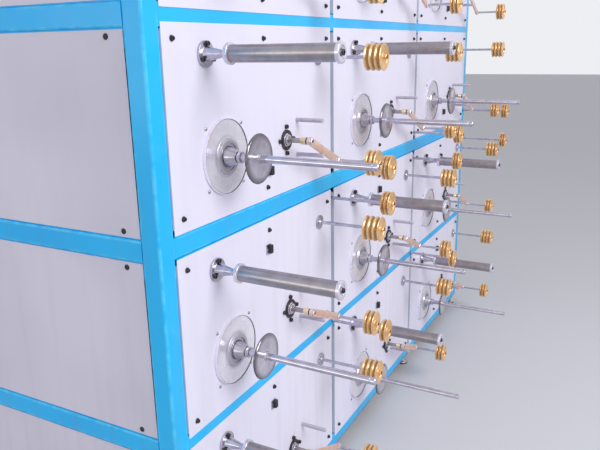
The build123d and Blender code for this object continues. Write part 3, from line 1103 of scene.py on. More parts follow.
@dataclass
class LevellingFeet:
    """Screwed feet: a rubber pad under a domed cup, a threaded stem and a lock nut.

    Attributes:
        radius: of the pad.
        stem: radius of the threaded stem.
        stem_start: height where the stem leaves the cup.
        thread: pitch of the thread.
        tooth: half the depth of the thread.
        lock: radius and height of the lock nut.
        lock_drop: from the stem's top to the lock nut's lower face.
    """

    radius: float = 25.0 * MM
    stem: float = 10.0 * MM
    stem_start: float = 14.0 * MM
    thread: float = 2.5 * MM
    tooth: float = 0.45 * MM
    lock: tuple[float, float] = (16.0 * MM, 11.0 * MM)
    lock_drop: float = 15.0 * MM

    def stem_profile(self, high: float) -> Array:
        """A threaded stem: its radius rises and falls once for each turn of the thread.

        Args:
            high: height of its top.

        Returns:
            (radius, height) pairs.
        """
        height = np.linspace(self.stem_start, high, 61)
        swell = self.tooth * np.cos(2 * np.pi * (height - self.stem_start) / self.thread)
        return np.stack([self.stem - self.tooth + swell, height], axis=1)

    def pieces(self) -> list[Piece]:
        """Builds the feet.

        Returns:
            All feet as one piece.
        """
        boxes = solid_boxes("levelling_feet")
        places = boxes.mean(axis=1)
        places[:, 2] = 0.0
        top = boxes[0, 1, 2]
        pad = softened([(0.6 * self.radius, 0.0), (self.radius, 0.0), (self.radius, 5 * MM),
                        (0.9 * self.radius, 6 * MM)], 1.2 * MM)
        cup = softened([(0.6 * self.radius, 5.5 * MM), (0.96 * self.radius, 5.5 * MM),
                        (0.9 * self.radius, 8 * MM), (0.55 * self.radius, 12 * MM),
                        (0.4 * self.radius, 15 * MM)], 1.5 * MM)
        lock = nut(*self.lock).turned([(1, 0, 0), (0, 0, 1), (0, -1, 0)])
        surfaces = [(lathe(pad, 40, upright=True), Finish.FOOT_RUBBER),
                    (lathe(cup, 40, upright=True), Finish.ZINC),
                    (lathe(self.stem_profile(top), 24, upright=True), Finish.ZINC),
                    (lock.moved((0, 0, top - self.lock_drop)), Finish.ZINC)]
        return [Piece("screwed_feet", CABINET, "zinc_steel", copied(surfaces, places), ("levelling_feet",))]


# Winding cells


@dataclass
class Spindles:
    """Twelve winding spindles and the bearings that carry them.

    Attributes:
        cells: the winding cells.
        shaft: radius of the shaft.
        reach: how far the shaft stands out.
        clearance: between the shaft and what it turns in.
        plate: radius and thickness of the bearing's flange.
        lip: width and height of the lip round it.
        barrel: radius and depth of the bearing behind the panel.
        sleeve: radius of the sleeve in front of the hub, and where it starts and ends.
        tail: radius of the collar on the shaft's tail, and where it starts and ends.
        tail_end: where the shaft ends.
        disc: radius of the backing disc.
        disc_start, disc_end: where the disc's two faces stand out.
        disc_hub: radius and height of the low hub on its face.
        bevel: of the disc's rim.
        screw_orbit: the panel's small screws round the flange, along X and along Z.
    """

    cells: list[Cell]
    shaft: float = 9.0 * MM
    reach: float = 387.0 * MM
    clearance: float = 0.05 * MM
    plate: tuple[float, float] = (90.0 * MM, 6.0 * MM)
    lip: tuple[float, float] = (2.0 * MM, 2.4 * MM)
    barrel: tuple[float, float] = (30.0 * MM, 40.0 * MM)
    sleeve: tuple[float, float, float] = (14.0 * MM, 39.0 * MM, 48.0 * MM)
    tail: tuple[float, float, float] = (16.0 * MM, -51.0 * MM, -41.0 * MM)
    tail_end: float = -62.0 * MM
    disc: float = 58.5 * MM
    disc_start: float = 90.0 * MM
    disc_end: float = 97.0 * MM
    disc_hub: tuple[float, float] = (13.0 * MM, 3.0 * MM)
    bevel: float = 2.5 * MM
    screw_orbit: float = 72.0 * MM

    def bearing(self) -> Patch:
        """Turns the flange with its lip, its raised ring and the seat of its hub.

        Returns:
            The bearing without its hub.
        """
        (plate, thick), (width, rise), (barrel, depth) = self.plate, self.lip, self.barrel
        bore, inside, top = self.shaft + self.clearance, plate - width, thick + rise
        outline = [(bore, -depth), (barrel, -depth), (barrel, 0.0), (plate, 0.0), (plate, top),
                   (inside, top), (inside, thick), (46 * MM, thick), (44 * MM, 6.8 * MM),
                   (40.5 * MM, 13 * MM), (33 * MM, 13 * MM), (32.4 * MM, 8.4 * MM), (31 * MM, 8 * MM),
                   (bore, 8 * MM)]
        return lathe(softened(outline, 0.8 * MM, True, 2), 96, True)

    def shade_lining(self) -> Patch:
        """Turns a thin dark ring inside the flange's lip: painted shade on the lip's inner wall.

        Returns:
            The seal.
        """
        outer, top = self.plate[0] - self.lip[0] + 0.2 * MM, self.plate[1] + self.lip[1]
        inner, low = outer - 0.8 * MM, self.plate[1] - 0.2 * MM
        return lathe([(inner, low), (outer, low), (outer, top - 0.4 * MM), (inner, top - 0.6 * MM)], 96, True)

    def hub(self) -> Patch:
        """Turns the bearing's hub, coned down to its tip.

        Returns:
            The hub.
        """
        bore = self.shaft + self.clearance
        outline = [(bore, 7 * MM), (26 * MM, 7 * MM), (26 * MM, 9 * MM), (15.6 * MM, 36 * MM),
                   (14.6 * MM, 37 * MM), (bore, 37 * MM)]
        return lathe(softened(outline, 0.8 * MM, True), 72, True)

    def shaft_surface(self) -> Patch:
        """Turns the shaft with its tail collar, the sleeve in front of the hub and its grooved tip.

        Returns:
            The shaft.
        """
        r, tip, end = self.shaft, self.reach, self.tail_end
        (tail, tail_start, tail_stop), (sleeve, start, stop) = self.tail, self.sleeve
        groove = r - 0.8 * MM
        outline = [(r - 1 * MM, end), (r, end + 1 * MM), (r, tail_start), (tail, tail_start),
                   (tail, tail_stop), (r, tail_stop), (r, start), (sleeve, start), (sleeve, stop),
                   (r, stop), (r, tip - 14 * MM), (groove, tip - 13.6 * MM), (groove, tip - 12.2 * MM),
                   (r, tip - 11.8 * MM), (r, tip - 1.5 * MM), (r - 1.5 * MM, tip)]
        return lathe(softened(outline, 0.5 * MM), 40)

    def disc_surface(self) -> Patch:
        """Turns the polished backing disc, bevelled at both sides of its rim, with a low hub.

        Returns:
            The disc.
        """
        start, end, rim, inside = self.disc_start, self.disc_end, self.disc, self.disc - self.bevel
        hub, top = self.disc_hub[0], end + self.disc_hub[1]
        outline = [(self.shaft, start), (inside, start), (rim, start + self.bevel), (rim, end - self.bevel),
                   (inside, end), (hub, end), (hub, top), (self.shaft, top)]
        return lathe(softened(outline, 0.4 * MM, True), 96, True)

    def pieces(self) -> list[Piece]:
        """Builds the bearings, the screws round them and the spindles.

        Returns:
            One piece for the bearings, one for the screws and one for each spindle.
        """
        places = np.array([cell.spindle for cell in self.cells])
        offsets = np.array([(x, 0.0, z) for x in (-1, 1) for z in (-1, 1)]) * self.screw_orbit
        around = (places[:, None] + offsets[None]).reshape(-1, 3)
        small = lathe(mm((4.2, 0.0), (4.0, 1.6), (2.6, 2.8), (1.2, 2.8), (1.1, 1.6)), 10)
        # The dark ring inside the lip is painted shade.
        bearing = [(self.bearing(), Finish.ALUMINIUM), (self.shade_lining(), Finish.BLOCK_PLASTIC),
                   (self.hub(), Finish.PLAIN_STEEL)]
        grub_y, rim = -self.disc_end - self.disc_hub[1] / 2, self.disc_hub[0]
        grub = rod_between((0.0, grub_y, rim - 0.8 * MM), (0.0, grub_y, rim + 0.6 * MM), 1.1 * MM, 10)
        spindle = [(self.shaft_surface(), Finish.SHAFT_STEEL), (self.disc_surface(), Finish.DISC_STEEL),
                   (grub, Finish.BLACKED)]
        return [
            Piece("spindle_bearing_flanges", CABINET, "bearing_aluminium", copied(bearing, places),
                  ("spindle_bearings",)),
            Piece("bearing_plate_screws", CABINET, "bracket_black",
                  [(small.repeated(around), Finish.ROLLER_STEEL)]),
            *[Piece("winding_spindle_" + cell.name, "spindle_" + cell.name, "shaft_steel",
                    shifted(spindle, cell.spindle), ("spindle_" + cell.name,)) for cell in self.cells],
        ]


@dataclass
class GuideRollers:
    """Capped rollers, each on an axle with a bolted, coned flange.

    Attributes:
        flange: radius and thickness of the flange.
        neck: radius behind the roller.
        neck_end: where the neck steps down to the axle.
        axle: radius of the axle.
        tip: where the axle's bolt ends.
        start, end: where the roller starts and ends.
        radius: of the roller's tube.
        cap, end_cap: radius of the cap at the panel's side and of the one at the free end.
        cap_width: of both caps.
        sunk: how deep a cap's bearing seat lies in its face.
        bolt: radius and height of the flange's bolts.
        bolt_orbit: the bolts from the flange's middle.
        tip_bolt: radius and height of the bolt in the axle's tip.
    """

    flange: tuple[float, float] = (29.0 * MM, 6.0 * MM)
    neck: float = 8.5 * MM
    neck_end: float = 61.0 * MM
    axle: float = 6.5 * MM
    tip: float = 334.0 * MM
    start: float = 62.0 * MM
    end: float = 330.0 * MM
    radius: float = 19.0 * MM
    cap: float = 24.0 * MM
    end_cap: float = 22.0 * MM
    cap_width: float = 9.0 * MM
    sunk: float = 2.2 * MM
    bolt: tuple[float, float] = (5.4 * MM, 7.0 * MM)
    bolt_orbit: float = 22.5 * MM
    tip_bolt: tuple[float, float] = (6.2 * MM, 5.0 * MM)

    def axle_surface(self) -> Patch:
        """Turns the flange, the cone down to the neck and the axle.

        Returns:
            The axle.
        """
        (flange, thick), neck, axle = self.flange, self.neck, self.axle
        seat = self.tip - self.tip_bolt[1]
        outline = [(10 * MM, 0.0), (flange, 0.0), (flange, thick), (17.6 * MM, thick), (16.6 * MM, 7.4 * MM),
                   (9 * MM, 42.6 * MM), (neck, 44.6 * MM), (neck, self.neck_end), (axle, self.neck_end),
                   (axle, seat), (axle - 1 * MM, seat + 1 * MM)]
        return lathe(softened(outline, 1.0 * MM), 40)

    def tube_surface(self) -> Patch:
        """Turns the roller's tube, which reaches into both caps.

        Returns:
            The tube.
        """
        bore, lap = self.axle + 0.5 * MM, self.cap_width - 1 * MM
        start, end = self.start + lap, self.end - lap
        return lathe([(bore, start), (self.radius, start), (self.radius, end), (bore, end)], 64, True)

    def cap_surface(self, radius: float, face: float, flip: float) -> Patch:
        """One end cap: a rounded rim round a sunk bearing seat.

        Args:
            radius: of the cap.
            face: where its outer face stands.
            flip: +1 if that face looks towards the panel, -1 if it looks away.

        Returns:
            The patch.
        """
        seat = self.axle + 1 * MM
        outline = [(radius, 0.0), (radius, self.cap_width), (seat, self.cap_width), (seat, self.sunk),
                   (radius - 7 * MM, self.sunk), (radius - 8 * MM, 0.0)]
        line = softened(outline, 1.6 * MM, True, 4)
        line[:, 1] = face + flip * line[:, 1]
        return lathe(line, 56, True)

    def pieces(self) -> list[Piece]:
        """Builds the axles with their bolts, and the rollers.

        Returns:
            One piece for the axles and one for the rollers.
        """
        places = on_face("guide_rollers")
        spots = on_circle(self.bolt_orbit, [90.0, 210.0, 330.0]) - (0.0, self.flange[1], 0.0)
        tip = socket_bolt(*self.tip_bolt).moved((0.0, self.tip_bolt[1] - self.tip, 0.0))
        bolts = joined([socket_bolt(*self.bolt).repeated(spots), tip])
        caps = joined([self.cap_surface(self.cap, self.start, 1.0),
                       self.cap_surface(self.end_cap, self.end, -1.0)])
        axle = [(self.axle_surface(), Finish.PLAIN_STEEL), (bolts, Finish.BLACKED)]
        roller = [(self.tube_surface(), Finish.ROLLER_STEEL), (caps, Finish.CAP_STEEL)]
        return [
            Piece("roller_axle_flanges", CABINET, "shaft_steel", copied(axle, places), ("roller_axles",)),
            Piece("capped_rollers", CABINET, "roller_steel", copied(roller, places), ("guide_rollers",)),
        ]


@dataclass(frozen=True)
class Pulley:
    """A grooved brass pulley, dished round its hub on both faces.

    Attributes:
        width: along its axle.
        grooves: how many wire grooves it has.
        bore: radius of its bore.
        plane: how far out its middle stands.
        radius: of its lips.
        hub: radius of the hub.
        rim: inner radius of the rim.
        dish: depth of the dish between them.
        slope: width of the dish's sloping sides.
        soft: bevel of the outer lips.
        depth: of a groove.
        lip: width of a lip between grooves.
    """

    width: float
    grooves: int
    bore: float
    plane: float
    radius: float = 37.5 * MM
    hub: float = 12.0 * MM
    rim: float = 29.5 * MM
    dish: float = 2.0 * MM
    slope: float = 0.7 * MM
    soft: float = 0.8 * MM
    depth: float = 5.0 * MM
    lip: float = 2.4 * MM

    def surface(self, sides: int = 72) -> Patch:
        """The pulley: over each groove the radius drops by depth times sin(pi t) to the power 0.8.

        Both faces are marked with the lips' radius, so that the painted shade falls only in the grooves.

        Args:
            sides: points round the axle.

        Returns:
            The patch.
        """
        pitch = (self.width - self.lip) / self.grooves
        t = np.linspace(0.0, 1.0, 11)
        start, end = self.plane - self.width / 2, self.plane + self.width / 2
        first = start + self.lip + pitch * np.arange(self.grooves)[:, None]
        out = first + (pitch - self.lip) * t[None]
        drop = self.depth * np.abs(np.sin(np.pi * t)) ** 0.8
        radius = np.repeat((self.radius - drop)[None], self.grooves, axis=0)
        grooves = np.stack([radius, out], axis=-1).reshape(-1, 2)
        face = np.array([(self.bore, 0.0), (self.hub, 0.0), (self.hub + self.slope, self.dish),
                         (self.rim - self.slope, self.dish), (self.rim, 0.0),
                         (self.radius - self.soft, 0.0), (self.radius, self.soft)])
        head, tail = face + (0.0, start), face[::-1] * (1.0, -1.0) + (0.0, end)
        whole = lathe(np.vstack([head, grooves, tail]), sides, True)
        marks, clean = whole.marks.copy(), len(face) * sides
        marks[:clean, 1] = marks[-clean:, 1] = self.radius
        return replace(whole, marks=marks)


@dataclass(frozen=True)
class PulleyRod:
    """What keeps a pulley on its rod: a set collar behind it and a nut in front.

    Attributes:
        rod: radius of the rod.
        collar: radius and width of the collar.
        nut: radius and width of the nut.
        gap: between the pulley and both.
        tip: how far the rod stands out of the nut.
        grub: radius of the collar's grub screw.
        plug: height of the dark plug over the rod's tip.
    """

    rod: float = 5.0 * MM
    collar: tuple[float, float] = (9.0 * MM, 8.0 * MM)
    nut: tuple[float, float] = (7.5 * MM, 6.0 * MM)
    gap: float = 0.3 * MM
    tip: float = 2.0 * MM
    grub: float = 1.6 * MM
    plug: float = 1.6 * MM

    def surfaces(self, pulley: Pulley, root: Sequence[Sequence[float]]) -> Dressed:
        """The rod with its root and collar, its grub screw and dark tip, and the pulley with its nut.

        The brass nut is marked with more than the lips' radius, so that it gets no painted shade.

        Args:
            pulley: the pulley that it carries.
            root: (radius, out) pairs up to where the plain rod starts.

        Returns:
            The steel, the blacked and the brass surfaces, each with its finish.
        """
        back, front = pulley.plane - pulley.width / 2 - self.gap, pulley.plane + pulley.width / 2 + self.gap
        rod, (radius, width) = self.rod, self.collar
        end = front + self.nut[1] + self.tip
        outline = [*root, (rod, back - width), (radius, back - width), (radius, back), (rod, back),
                   (rod, end - 0.8 * MM), (rod - 0.8 * MM, end)]
        grub_y = width / 2 - back
        grub = rod_between((0, grub_y, radius - 0.8 * MM), (0, grub_y, radius + 0.4 * MM), self.grub, 8)
        held = nut(*self.nut).moved((0.0, -front, 0.0))
        held = replace(held, marks=held.marks + (0.0, pulley.radius, 0.0))
        plug = socket_bolt(rod + 0.2 * MM, self.plug).moved((0.0, self.plug - 0.1 * MM - end, 0.0))
        return [(lathe(softened(outline, 0.7 * MM), 28), Finish.PLAIN_STEEL),
                (joined([grub, plug]), Finish.BLACKED),
                (joined([pulley.surface(), held]), Finish.PULLEY_BRASS)]


@dataclass
class PulleyPosts:
    """Fixed pulleys: one on a flanged rod in each cell, and those on the frame's posts and rails.

    Attributes:
        holder: the rods with their collars and nuts.
        cell_pulley: the three-groove pulley of a cell.
        flange: radius and thickness of the flange in a cell.
        foot: radius of a post's rod behind its collar, radius of that collar and its width.
        narrow: pulleys on the posts that are narrower than this have one groove, others two.
    """

    holder: PulleyRod = PulleyRod()
    cell_pulley: Pulley = Pulley(50.0 * MM, 3, 5.05 * MM, 184.0 * MM)
    flange: tuple[float, float] = (22.0 * MM, 5.0 * MM)
    foot: tuple[float, float, float] = (6.0 * MM, 9.0 * MM, 8.0 * MM)
    narrow: float = 22.0 * MM

    def cell_pieces(self) -> list[Piece]:
        """Builds what stands in the cells.

        Returns:
            One piece for the rods and one for the pulleys.
        """
        places = on_face("guide_pulleys")
        flange, thick = self.flange
        root = [(8 * MM, 0.0), (flange, 0.0), (flange, thick), (9 * MM, thick), (8 * MM, 7 * MM),
                (self.holder.rod, 9 * MM)]
        *rod, brass = copied(self.holder.surfaces(self.cell_pulley, root), places)
        return [Piece("cell_pulley_rods", CABINET, "shaft_steel", rod, ("pulley_posts",)),
                Piece("cell_pulleys", CABINET, "pulley_brass", [brass], ("guide_pulleys",))]

    def post_pieces(self) -> list[Piece]:
        """Builds what stands on the posts and rails, each as wide and as far out as its CAD solid.

        Returns:
            One piece for the rods and one for the pulleys.
        """
        face, (inner, collar, length) = face_of_panels(), self.foot
        rods, pulleys = [], []
        for rod_box, box in zip(solid_boxes("seam_pulley_rods"), solid_boxes("seam_pulleys")):
            width = box[1, 1] - box[0, 1]
            grooves = 1 if width < self.narrow else 2
            back = face - rod_box[1, 1]
            root = [(inner, back), (collar, back), (collar, back + length), (self.holder.rod, back + length)]
            pulley = Pulley(width, grooves, self.cell_pulley.bore, face - box[:, 1].mean())
            place = (box[:, 0].mean(), face, box[:, 2].mean())
            *rod, brass = shifted(self.holder.surfaces(pulley, root), place)
            rods += rod
            pulleys.append(brass)
        return [Piece("post_pulley_rods", CABINET, "shaft_steel", rods, ("seam_pulley_rods",)),
                Piece("post_pulleys", CABINET, "pulley_brass", pulleys, ("seam_pulleys",))]

    def pieces(self) -> list[Piece]:
        """The rods and pulleys of the cells and of the frame's posts."""
        return [*self.cell_pieces(), *self.post_pieces()]


@dataclass
class Dancers:
    """Twelve dancer arms on black brackets, each between two stop pins.

    Attributes:
        cells: the winding cells.
        out, drop: from the pivot to the arm's tip.
        pivot: radius of the pivot shaft.
        sleeve: radius of the sleeve round it.
        bush_start, bush_end: where the knurled bush starts and ends.
        bush: radius of the bush between its ridges.
        ridge: height of its ridges.
        ridges: how many it has.
        arm_width: of the flat arm.
        arm_start, arm_end: where the arm's two faces stand out.
        arm_edge: bevel of the arm's edges.
        lock: radius and width of the nuts on the arm.
        boss: radius of the pale boss that the black ring is pressed on.
        stop: radius of the stop pins and how far they stand out.
        screw: radius and height of the bracket's screws.
        screw_orbit: those screws from its middle.
        holder: the rod at the arm's tip.
        pulley: the two-groove pulley on it.
    """

    cells: list[Cell]
    out: float = 175.0 * MM
    drop: float = 80.0 * MM
    pivot: float = 5.0 * MM
    sleeve: float = 7.0 * MM
    bush_start: float = 48.0 * MM
    bush_end: float = 64.0 * MM
    bush: float = 9.2 * MM
    ridge: float = 0.8 * MM
    ridges: int = 4
    arm_width: float = 23.0 * MM
    arm_start: float = 72.0 * MM
    arm_end: float = 78.0 * MM
    arm_edge: float = 0.8 * MM
    lock: tuple[float, float] = (9.0 * MM, 5.0 * MM)
    boss: float = 18.0 * MM
    stop: tuple[float, float] = (6.0 * MM, 84.0 * MM)
    screw: tuple[float, float] = (6.0 * MM, 7.5 * MM)
    screw_orbit: float = 36.5 * MM
    holder: PulleyRod = PulleyRod(4.5 * MM)
    pulley: Pulley = Pulley(30.0 * MM, 2, 4.55 * MM, 190.0 * MM)

    def bracket(self) -> list[Patch]:
        """Turns what carries the pivot shaft.

        Returns:
            The black ring, the pale boss with its neck behind the panel, and the bearing in it.
        """
        boss, bore = self.boss, self.pivot + 0.05 * MM
        ring = [(boss, 0.0), (28 * MM, 0.0), (28 * MM, 5 * MM), (26.6 * MM, 6 * MM), (20 * MM, 6 * MM),
                (boss, 3.6 * MM)]
        neck = [(11 * MM, -30 * MM), (12 * MM, -30 * MM), (12 * MM, 0.0), (boss, 0.0), (boss, 4 * MM),
                (15 * MM, 4 * MM), (15 * MM, 10 * MM), (11 * MM, 10 * MM)]
        bearing = [(bore, -29 * MM), (10.9 * MM, -29 * MM), (10.9 * MM, 9 * MM), (9 * MM, 9 * MM),
                   (8.6 * MM, 8.2 * MM), (7.4 * MM, 8.2 * MM), (7 * MM, 9 * MM), (bore, 9 * MM)]
        return [lathe(softened(ring, 0.7 * MM, True), 48, True),
                lathe(softened(neck, 0.5 * MM, True), 48, True),
                lathe(softened(bearing, 0.3 * MM, True), 36, True)]

    def knurled_bush(self) -> Patch:
        """Turns the brass bush: rounded ridges, each a half wave of the sine.

        Returns:
            The bush.
        """
        start, end = self.bush_start, self.bush_end
        out = np.linspace(start, end, 41)
        wave = np.abs(np.sin(self.ridges * np.pi * (out - out[0]) / (out[-1] - out[0])))
        outer = np.stack([self.bush + self.ridge * wave, out], axis=1)
        return lathe(np.vstack([outer, [(self.pivot, end), (self.pivot, start)]]), 32, True)

    def arm(self) -> Patch:
        """The flat arm: a rounded bar from the pivot to the tip, turned down to its slope.

        Its outline is two half circles; each ring is that outline drawn in by shrink, at place.

        Returns:
            The arm.
        """
        half, length = self.arm_width / 2, float(np.hypot(self.out, self.drop))
        turn = np.linspace(-np.pi / 2, np.pi / 2, 15)
        x = np.concatenate([length + half * np.cos(turn), half * np.cos(turn + np.pi)])
        z = np.concatenate([half * np.sin(turn), half * np.sin(turn + np.pi)])
        middle, edge = x.mean(), self.arm_edge
        shrink = np.array([edge, 0.25 * edge, 0.0, 0.0, 0.25 * edge, edge])[:, None]
        place = np.array([0.0, 0.35 * edge, edge, -edge, -0.35 * edge, 0.0])
        place += np.repeat([self.arm_start, self.arm_end], 3)
        rings = np.stack([middle + (x - middle) * (1 - shrink / (length / 2 + half)),
                          np.repeat(-place[:, None], len(x), axis=1), z * (1 - shrink / half)], axis=-1)
        marks = rings[..., [0, 2, 1]]
        return loft(rings, marks).swung(-float(np.arctan2(self.drop, self.out)))

    def ring(self, radius: float, start: float, end: float) -> Patch:
        """A loose ring or washer on the pivot shaft."""
        outline = [(self.pivot, start), (radius, start), (radius, end), (self.pivot, end)]
        return lathe(softened(outline, 0.4 * MM, True), 32, True)

    def carrier(self) -> Dressed:
        """Builds everything that swings, with the pivot at the origin.

        Returns:
            Shaft, rings and nuts, arm, bush, and the rod with its pulley.
        """
        tip, r, sleeve = (self.out, 0.0, -self.drop), self.pivot, self.sleeve
        shaft = [(r - 1 * MM, -44 * MM), (r, -43 * MM), (r, 11 * MM), (sleeve, 11 * MM),
                 (sleeve, 47.5 * MM), (r, 48 * MM), (r, 82 * MM), (r - 1 * MM, 83 * MM)]
        lock = nut(*self.lock)
        nuts = joined([lock.moved((0.0, -out, 0.0)) for out in (67 * MM, self.arm_end)]).moved(tip)
        pale = [self.ring(10 * MM, 68.2 * MM, 71.8 * MM), lock.moved((0.0, -self.arm_end, 0.0)), nuts]
        root = mm((3.6, 66.0), (4.5, 67.0))
        return [
            (lathe(softened(shaft, 0.5 * MM), 28), Finish.ROLLER_STEEL),
            (joined(pale), Finish.CAP_STEEL),
            (self.arm(), Finish.ARM_COPPER),
            (self.knurled_bush(), Finish.BUSH_BRASS),
            (self.ring(9.8 * MM, 64.4 * MM, 67.8 * MM), Finish.BLACKED),
            *shifted(self.holder.surfaces(self.pulley, root), tip),
        ]

    def pieces(self) -> list[Piece]:
        """Builds the brackets, the stop pins and the dancers.

        Returns:
            One piece for the brackets, one for the pins and one for each dancer.
        """
        places = np.array([cell.pivot for cell in self.cells])
        spots = on_circle(self.screw_orbit, [0.0, 90.0, 180.0, 270.0])
        ring, boss, bearing = self.bracket()
        bracket = [(joined([ring, socket_bolt(*self.screw).repeated(spots)]), Finish.BLACKED),
                   (boss, Finish.CAP_STEEL), (bearing, Finish.PLAIN_STEEL)]
        radius, reach = self.stop
        pin = [(4 * MM, 0.0), (radius, 0.0), (radius, reach - 1 * MM), (radius - 1 * MM, reach)]
        pins = lathe(softened(pin, 0.6 * MM), 28).repeated(on_face("dancer_stops"))
        carrier = self.carrier()
        return [
            Piece("dancer_ring_brackets", CABINET, "bracket_black", copied(bracket, places),
                  ("dancer_brackets",)),
            Piece("dancer_stop_pins", CABINET, "stop_plastic", [(pins, Finish.STOP_SLEEVE)],
                  ("dancer_stops",)),
            *[Piece("dancer_arm_" + cell.name, "dancer_" + cell.name, "arm_copper",
                    shifted(carrier, cell.pivot), ("dancer_" + cell.name,)) for cell in self.cells],
        ]


@dataclass
class SensorBlocks:
    """Small black wire sensors, each on a pale plate that shows at its left.

    Attributes:
        plate: thickness of the plate.
        overhang: how far the plate shows at the block's left.
        margin: how far it shows above and below the block.
        screw_inset: the block's two screws from its top and bottom.
        screw_head: how deep those screws are sunk into its face.
        plate_inset: the plate's screw from its left edge.
    """

    plate: float = 2.5 * MM
    overhang: float = 8.0 * MM
    margin: float = 2.0 * MM
    screw_inset: float = 5.0 * MM
    screw_head: float = 0.9 * MM
    plate_inset: float = 3.6 * MM

    def pieces(self) -> list[Piece]:
        """Builds the sensors.

        Returns:
            All blocks with their plates as one piece.
        """
        small, smaller = socket_bolt(2.2 * MM, self.screw_head, 12), socket_bolt(2.0 * MM, 1.4 * MM, 10)
        blocks, plates, screws = [], [], []
        for low, high in solid_boxes("sensor_blocks"):
            seat = high[1] - self.plate
            left, bottom, top = low[0] + self.overhang, low[2] + self.margin, high[2] - self.margin
            blocks.append(bar((left, low[1], bottom), (high[0], seat + 0.1 * MM, top), "y",
                              2.5 * MM, 1.2 * MM))
            plates.append(bar((low[0], seat, low[2]), high, "y", 2 * MM, 0.4 * MM))
            middle, face = (left + high[0]) / 2, low[1] + self.screw_head
            screws += [small.moved((middle, face, z))
                       for z in (bottom + self.screw_inset, top - self.screw_inset)]
            screws.append(smaller.moved((low[0] + self.plate_inset, seat, (low[2] + high[2]) / 2)))
        surfaces = [(joined(blocks), Finish.BLOCK_PLASTIC), (joined(plates), Finish.ZINC),
                    (joined(screws), Finish.ZINC)]
        return [Piece("wire_sensors", CABINET, "bracket_black", surfaces, ("sensor_blocks",))]


# Studio


def stand(data: bpy.types.ID, axes: Sequence[Sequence[float]], place: Sequence[float]) -> bpy.types.Object:
    """Puts a camera or a lamp into the scene.

    Args:
        data: the camera or the light.
        axes: the directions of its right, its up and its back.
        place: where it stands.

    Returns:
        The new object.
    """
    matrix = np.eye(4)
    matrix[:3, :3], matrix[:3, 3] = np.transpose(axes), place
    thing = bpy.data.objects.new(data.name, data)
    thing.matrix_world = Matrix(matrix.tolist())
    bpy.context.scene.collection.objects.link(thing)
    return thing


@dataclass(frozen=True)
class Lamp:
    """A soft lamp that faces a target.

    Attributes:
        name: of its object.
        place: where it stands.
        target: where it looks.
        size: its width and height.
        power: in watts.
    """

    name: str
    place: tuple[float, float, float]
    target: tuple[float, float, float]
    size: tuple[float, float]
    power: float

    def hang(self) -> None:
        """Puts the lamp into the scene, with its width level."""
        light = bpy.data.lights.new(self.name, "AREA")
        light.shape = "RECTANGLE"
        light.size, light.size_y = self.size
        light.energy = self.power
        back = np.subtract(self.place, self.target)
        back /= np.linalg.norm(back)
        side = np.cross((0.0, 0.0, 1.0), back)
        side /= np.linalg.norm(side)
        stand(light, (side, np.cross(back, side), back), self.place)


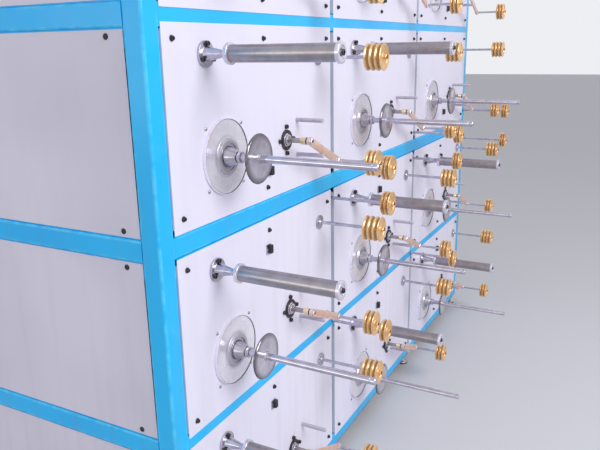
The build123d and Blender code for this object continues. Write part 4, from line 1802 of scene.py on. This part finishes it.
@dataclass
class Studio:
    """A plain pale floor, soft light from the front and the photograph's camera.

    Attributes:
        place: where the camera stands.
        yaw: of its view, from +Y towards +X, in radians.
        pitch: of its view above level, in radians.
        roll: of its frame, in radians.
        focal: in pixels of a picture as wide as the width.
        width: of the picture, in pixels.
        sensor: width of the camera's sensor, in millimetres.
        far: how far the camera sees.
        floor_half: half the floor's length and width.
        floor_colour: of the floor.
        floor_rough: roughness of the floor.
        sky_colour: of the even light.
        sky_light: strength of the even light.
        backdrop: colour that the camera and bare metal see all round.
        lamps: the soft lamps.
    """

    place: tuple[float, float, float] = (-2.2727, -1.1266, 1.4511)
    yaw: float = 1.08067
    pitch: float = -0.2695
    roll: float = -0.01819
    focal: float = 647.84
    width: float = 600.0
    sensor: float = 36.0
    far: float = 200.0
    floor_half: float = 30.0
    floor_colour: Colour = (212, 213, 217)
    floor_rough: float = 0.8
    sky_colour: Colour = (240, 240, 246)
    sky_light: float = 0.62
    backdrop: Colour = (238, 239, 243)
    lamps: tuple[Lamp, ...] = (
        Lamp("front_lamp", (-1.3, -4.1, 3.4), (-0.2, -0.25, 1.3), (2.4, 2.4), 136.0),
        Lamp("left_lamp", (-6.0, 1.5, 1.4), (-1.2, 0.2, 1.3), (6.0, 1.4), 50.0),
    )

    def camera(self) -> None:
        """Sets the camera: right, up and back directions from yaw, pitch and roll."""
        ahead = np.array([np.sin(self.yaw) * np.cos(self.pitch), np.cos(self.yaw) * np.cos(self.pitch),
                          np.sin(self.pitch)])
        level = np.array([np.cos(self.yaw), -np.sin(self.yaw), 0.0])
        above = np.cross(level, ahead)
        right = level * np.cos(self.roll) + above * np.sin(self.roll)
        up = -level * np.sin(self.roll) + above * np.cos(self.roll)
        lens = bpy.data.cameras.new("photo_camera")
        lens.sensor_width = self.sensor
        lens.lens = self.sensor * self.focal / self.width
        lens.clip_end = self.far
        bpy.context.scene.camera = stand(lens, (right, up, -ahead), self.place)

    def floor(self) -> None:
        """Lays a wide plain floor."""
        mesh = bpy.data.meshes.new("floor")
        half = self.floor_half
        corners = [(-half, -half, 0), (half, -half, 0), (half, half, 0), (-half, half, 0)]
        mesh.from_pydata(corners, [], [(0, 1, 2, 3)])
        bench = Bench("floor_paint")
        bench.shader.inputs["Base Color"].default_value = linear(self.floor_colour)
        bench.shader.inputs["Roughness"].default_value = self.floor_rough
        mesh.materials.append(bench.material)
        floor = bpy.data.objects.new("floor", mesh)
        bpy.context.scene.collection.objects.link(floor)

    def sky(self) -> None:
        """Sets even light from all round, and the pale backdrop that the camera and bare metal see."""
        world = bpy.data.worlds.new("studio")
        world.use_nodes = True
        tree = world.node_tree
        light = tree.nodes["Background"]
        light.inputs["Color"].default_value = linear(self.sky_colour)
        light.inputs["Strength"].default_value = self.sky_light
        seen = tree.nodes.new("ShaderNodeBackground")
        seen.inputs["Color"].default_value = linear(self.backdrop)
        paths = tree.nodes.new("ShaderNodeLightPath")
        either = paths.outputs["Is Camera Ray"]
        for kind in ("Is Glossy Ray", "Is Transmission Ray"):
            both = tree.nodes.new("ShaderNodeMath")
            both.operation = "MAXIMUM"
            tree.links.new(either, both.inputs[0])
            tree.links.new(paths.outputs[kind], both.inputs[1])
            either = both.outputs[0]
        mix = tree.nodes.new("ShaderNodeMixShader")
        for index, source in enumerate((either, light.outputs[0], seen.outputs[0])):
            tree.links.new(source, mix.inputs[index])
        tree.links.new(mix.outputs[0], tree.nodes["World Output"].inputs["Surface"])
        bpy.context.scene.world = world

    def build(self) -> None:
        """Sets up everything that is not the object."""
        self.camera()
        self.floor()
        self.sky()
        for lamp in self.lamps:
            lamp.hang()
        bpy.context.scene.view_settings.view_transform = "Standard"


def dress_kept_nodes(shelf: Shelf) -> None:
    """Gives the CAD nodes that stay in sight a detailed finish.

    Args:
        shelf: the materials.
    """
    finish = Finish.FRAME_ENAMEL
    for node in ("cross_rails", "fixing_bars"):
        for slot in frame["nodes"][node].material_slots:
            slot.material = shelf.take(finish)
        LOG.info("%s: kept, in %s", node, finish.name.lower())


def main() -> None:
    """Builds the studio and every sub-assembly."""
    logging.basicConfig(level=logging.INFO, format="%(name)s: %(message)s")
    shelf = Shelf()
    Studio().build()
    cells = read_cells()
    assemblies = [TubeFrame(), SheetPanels(), LevellingFeet(), Spindles(cells), GuideRollers(),
                  PulleyPosts(), Dancers(cells), SensorBlocks()]
    for assembly in assemblies:
        for piece in assembly.pieces():
            piece.make(shelf)
    dress_kept_nodes(shelf)


if __name__ == "__main__":
    main()
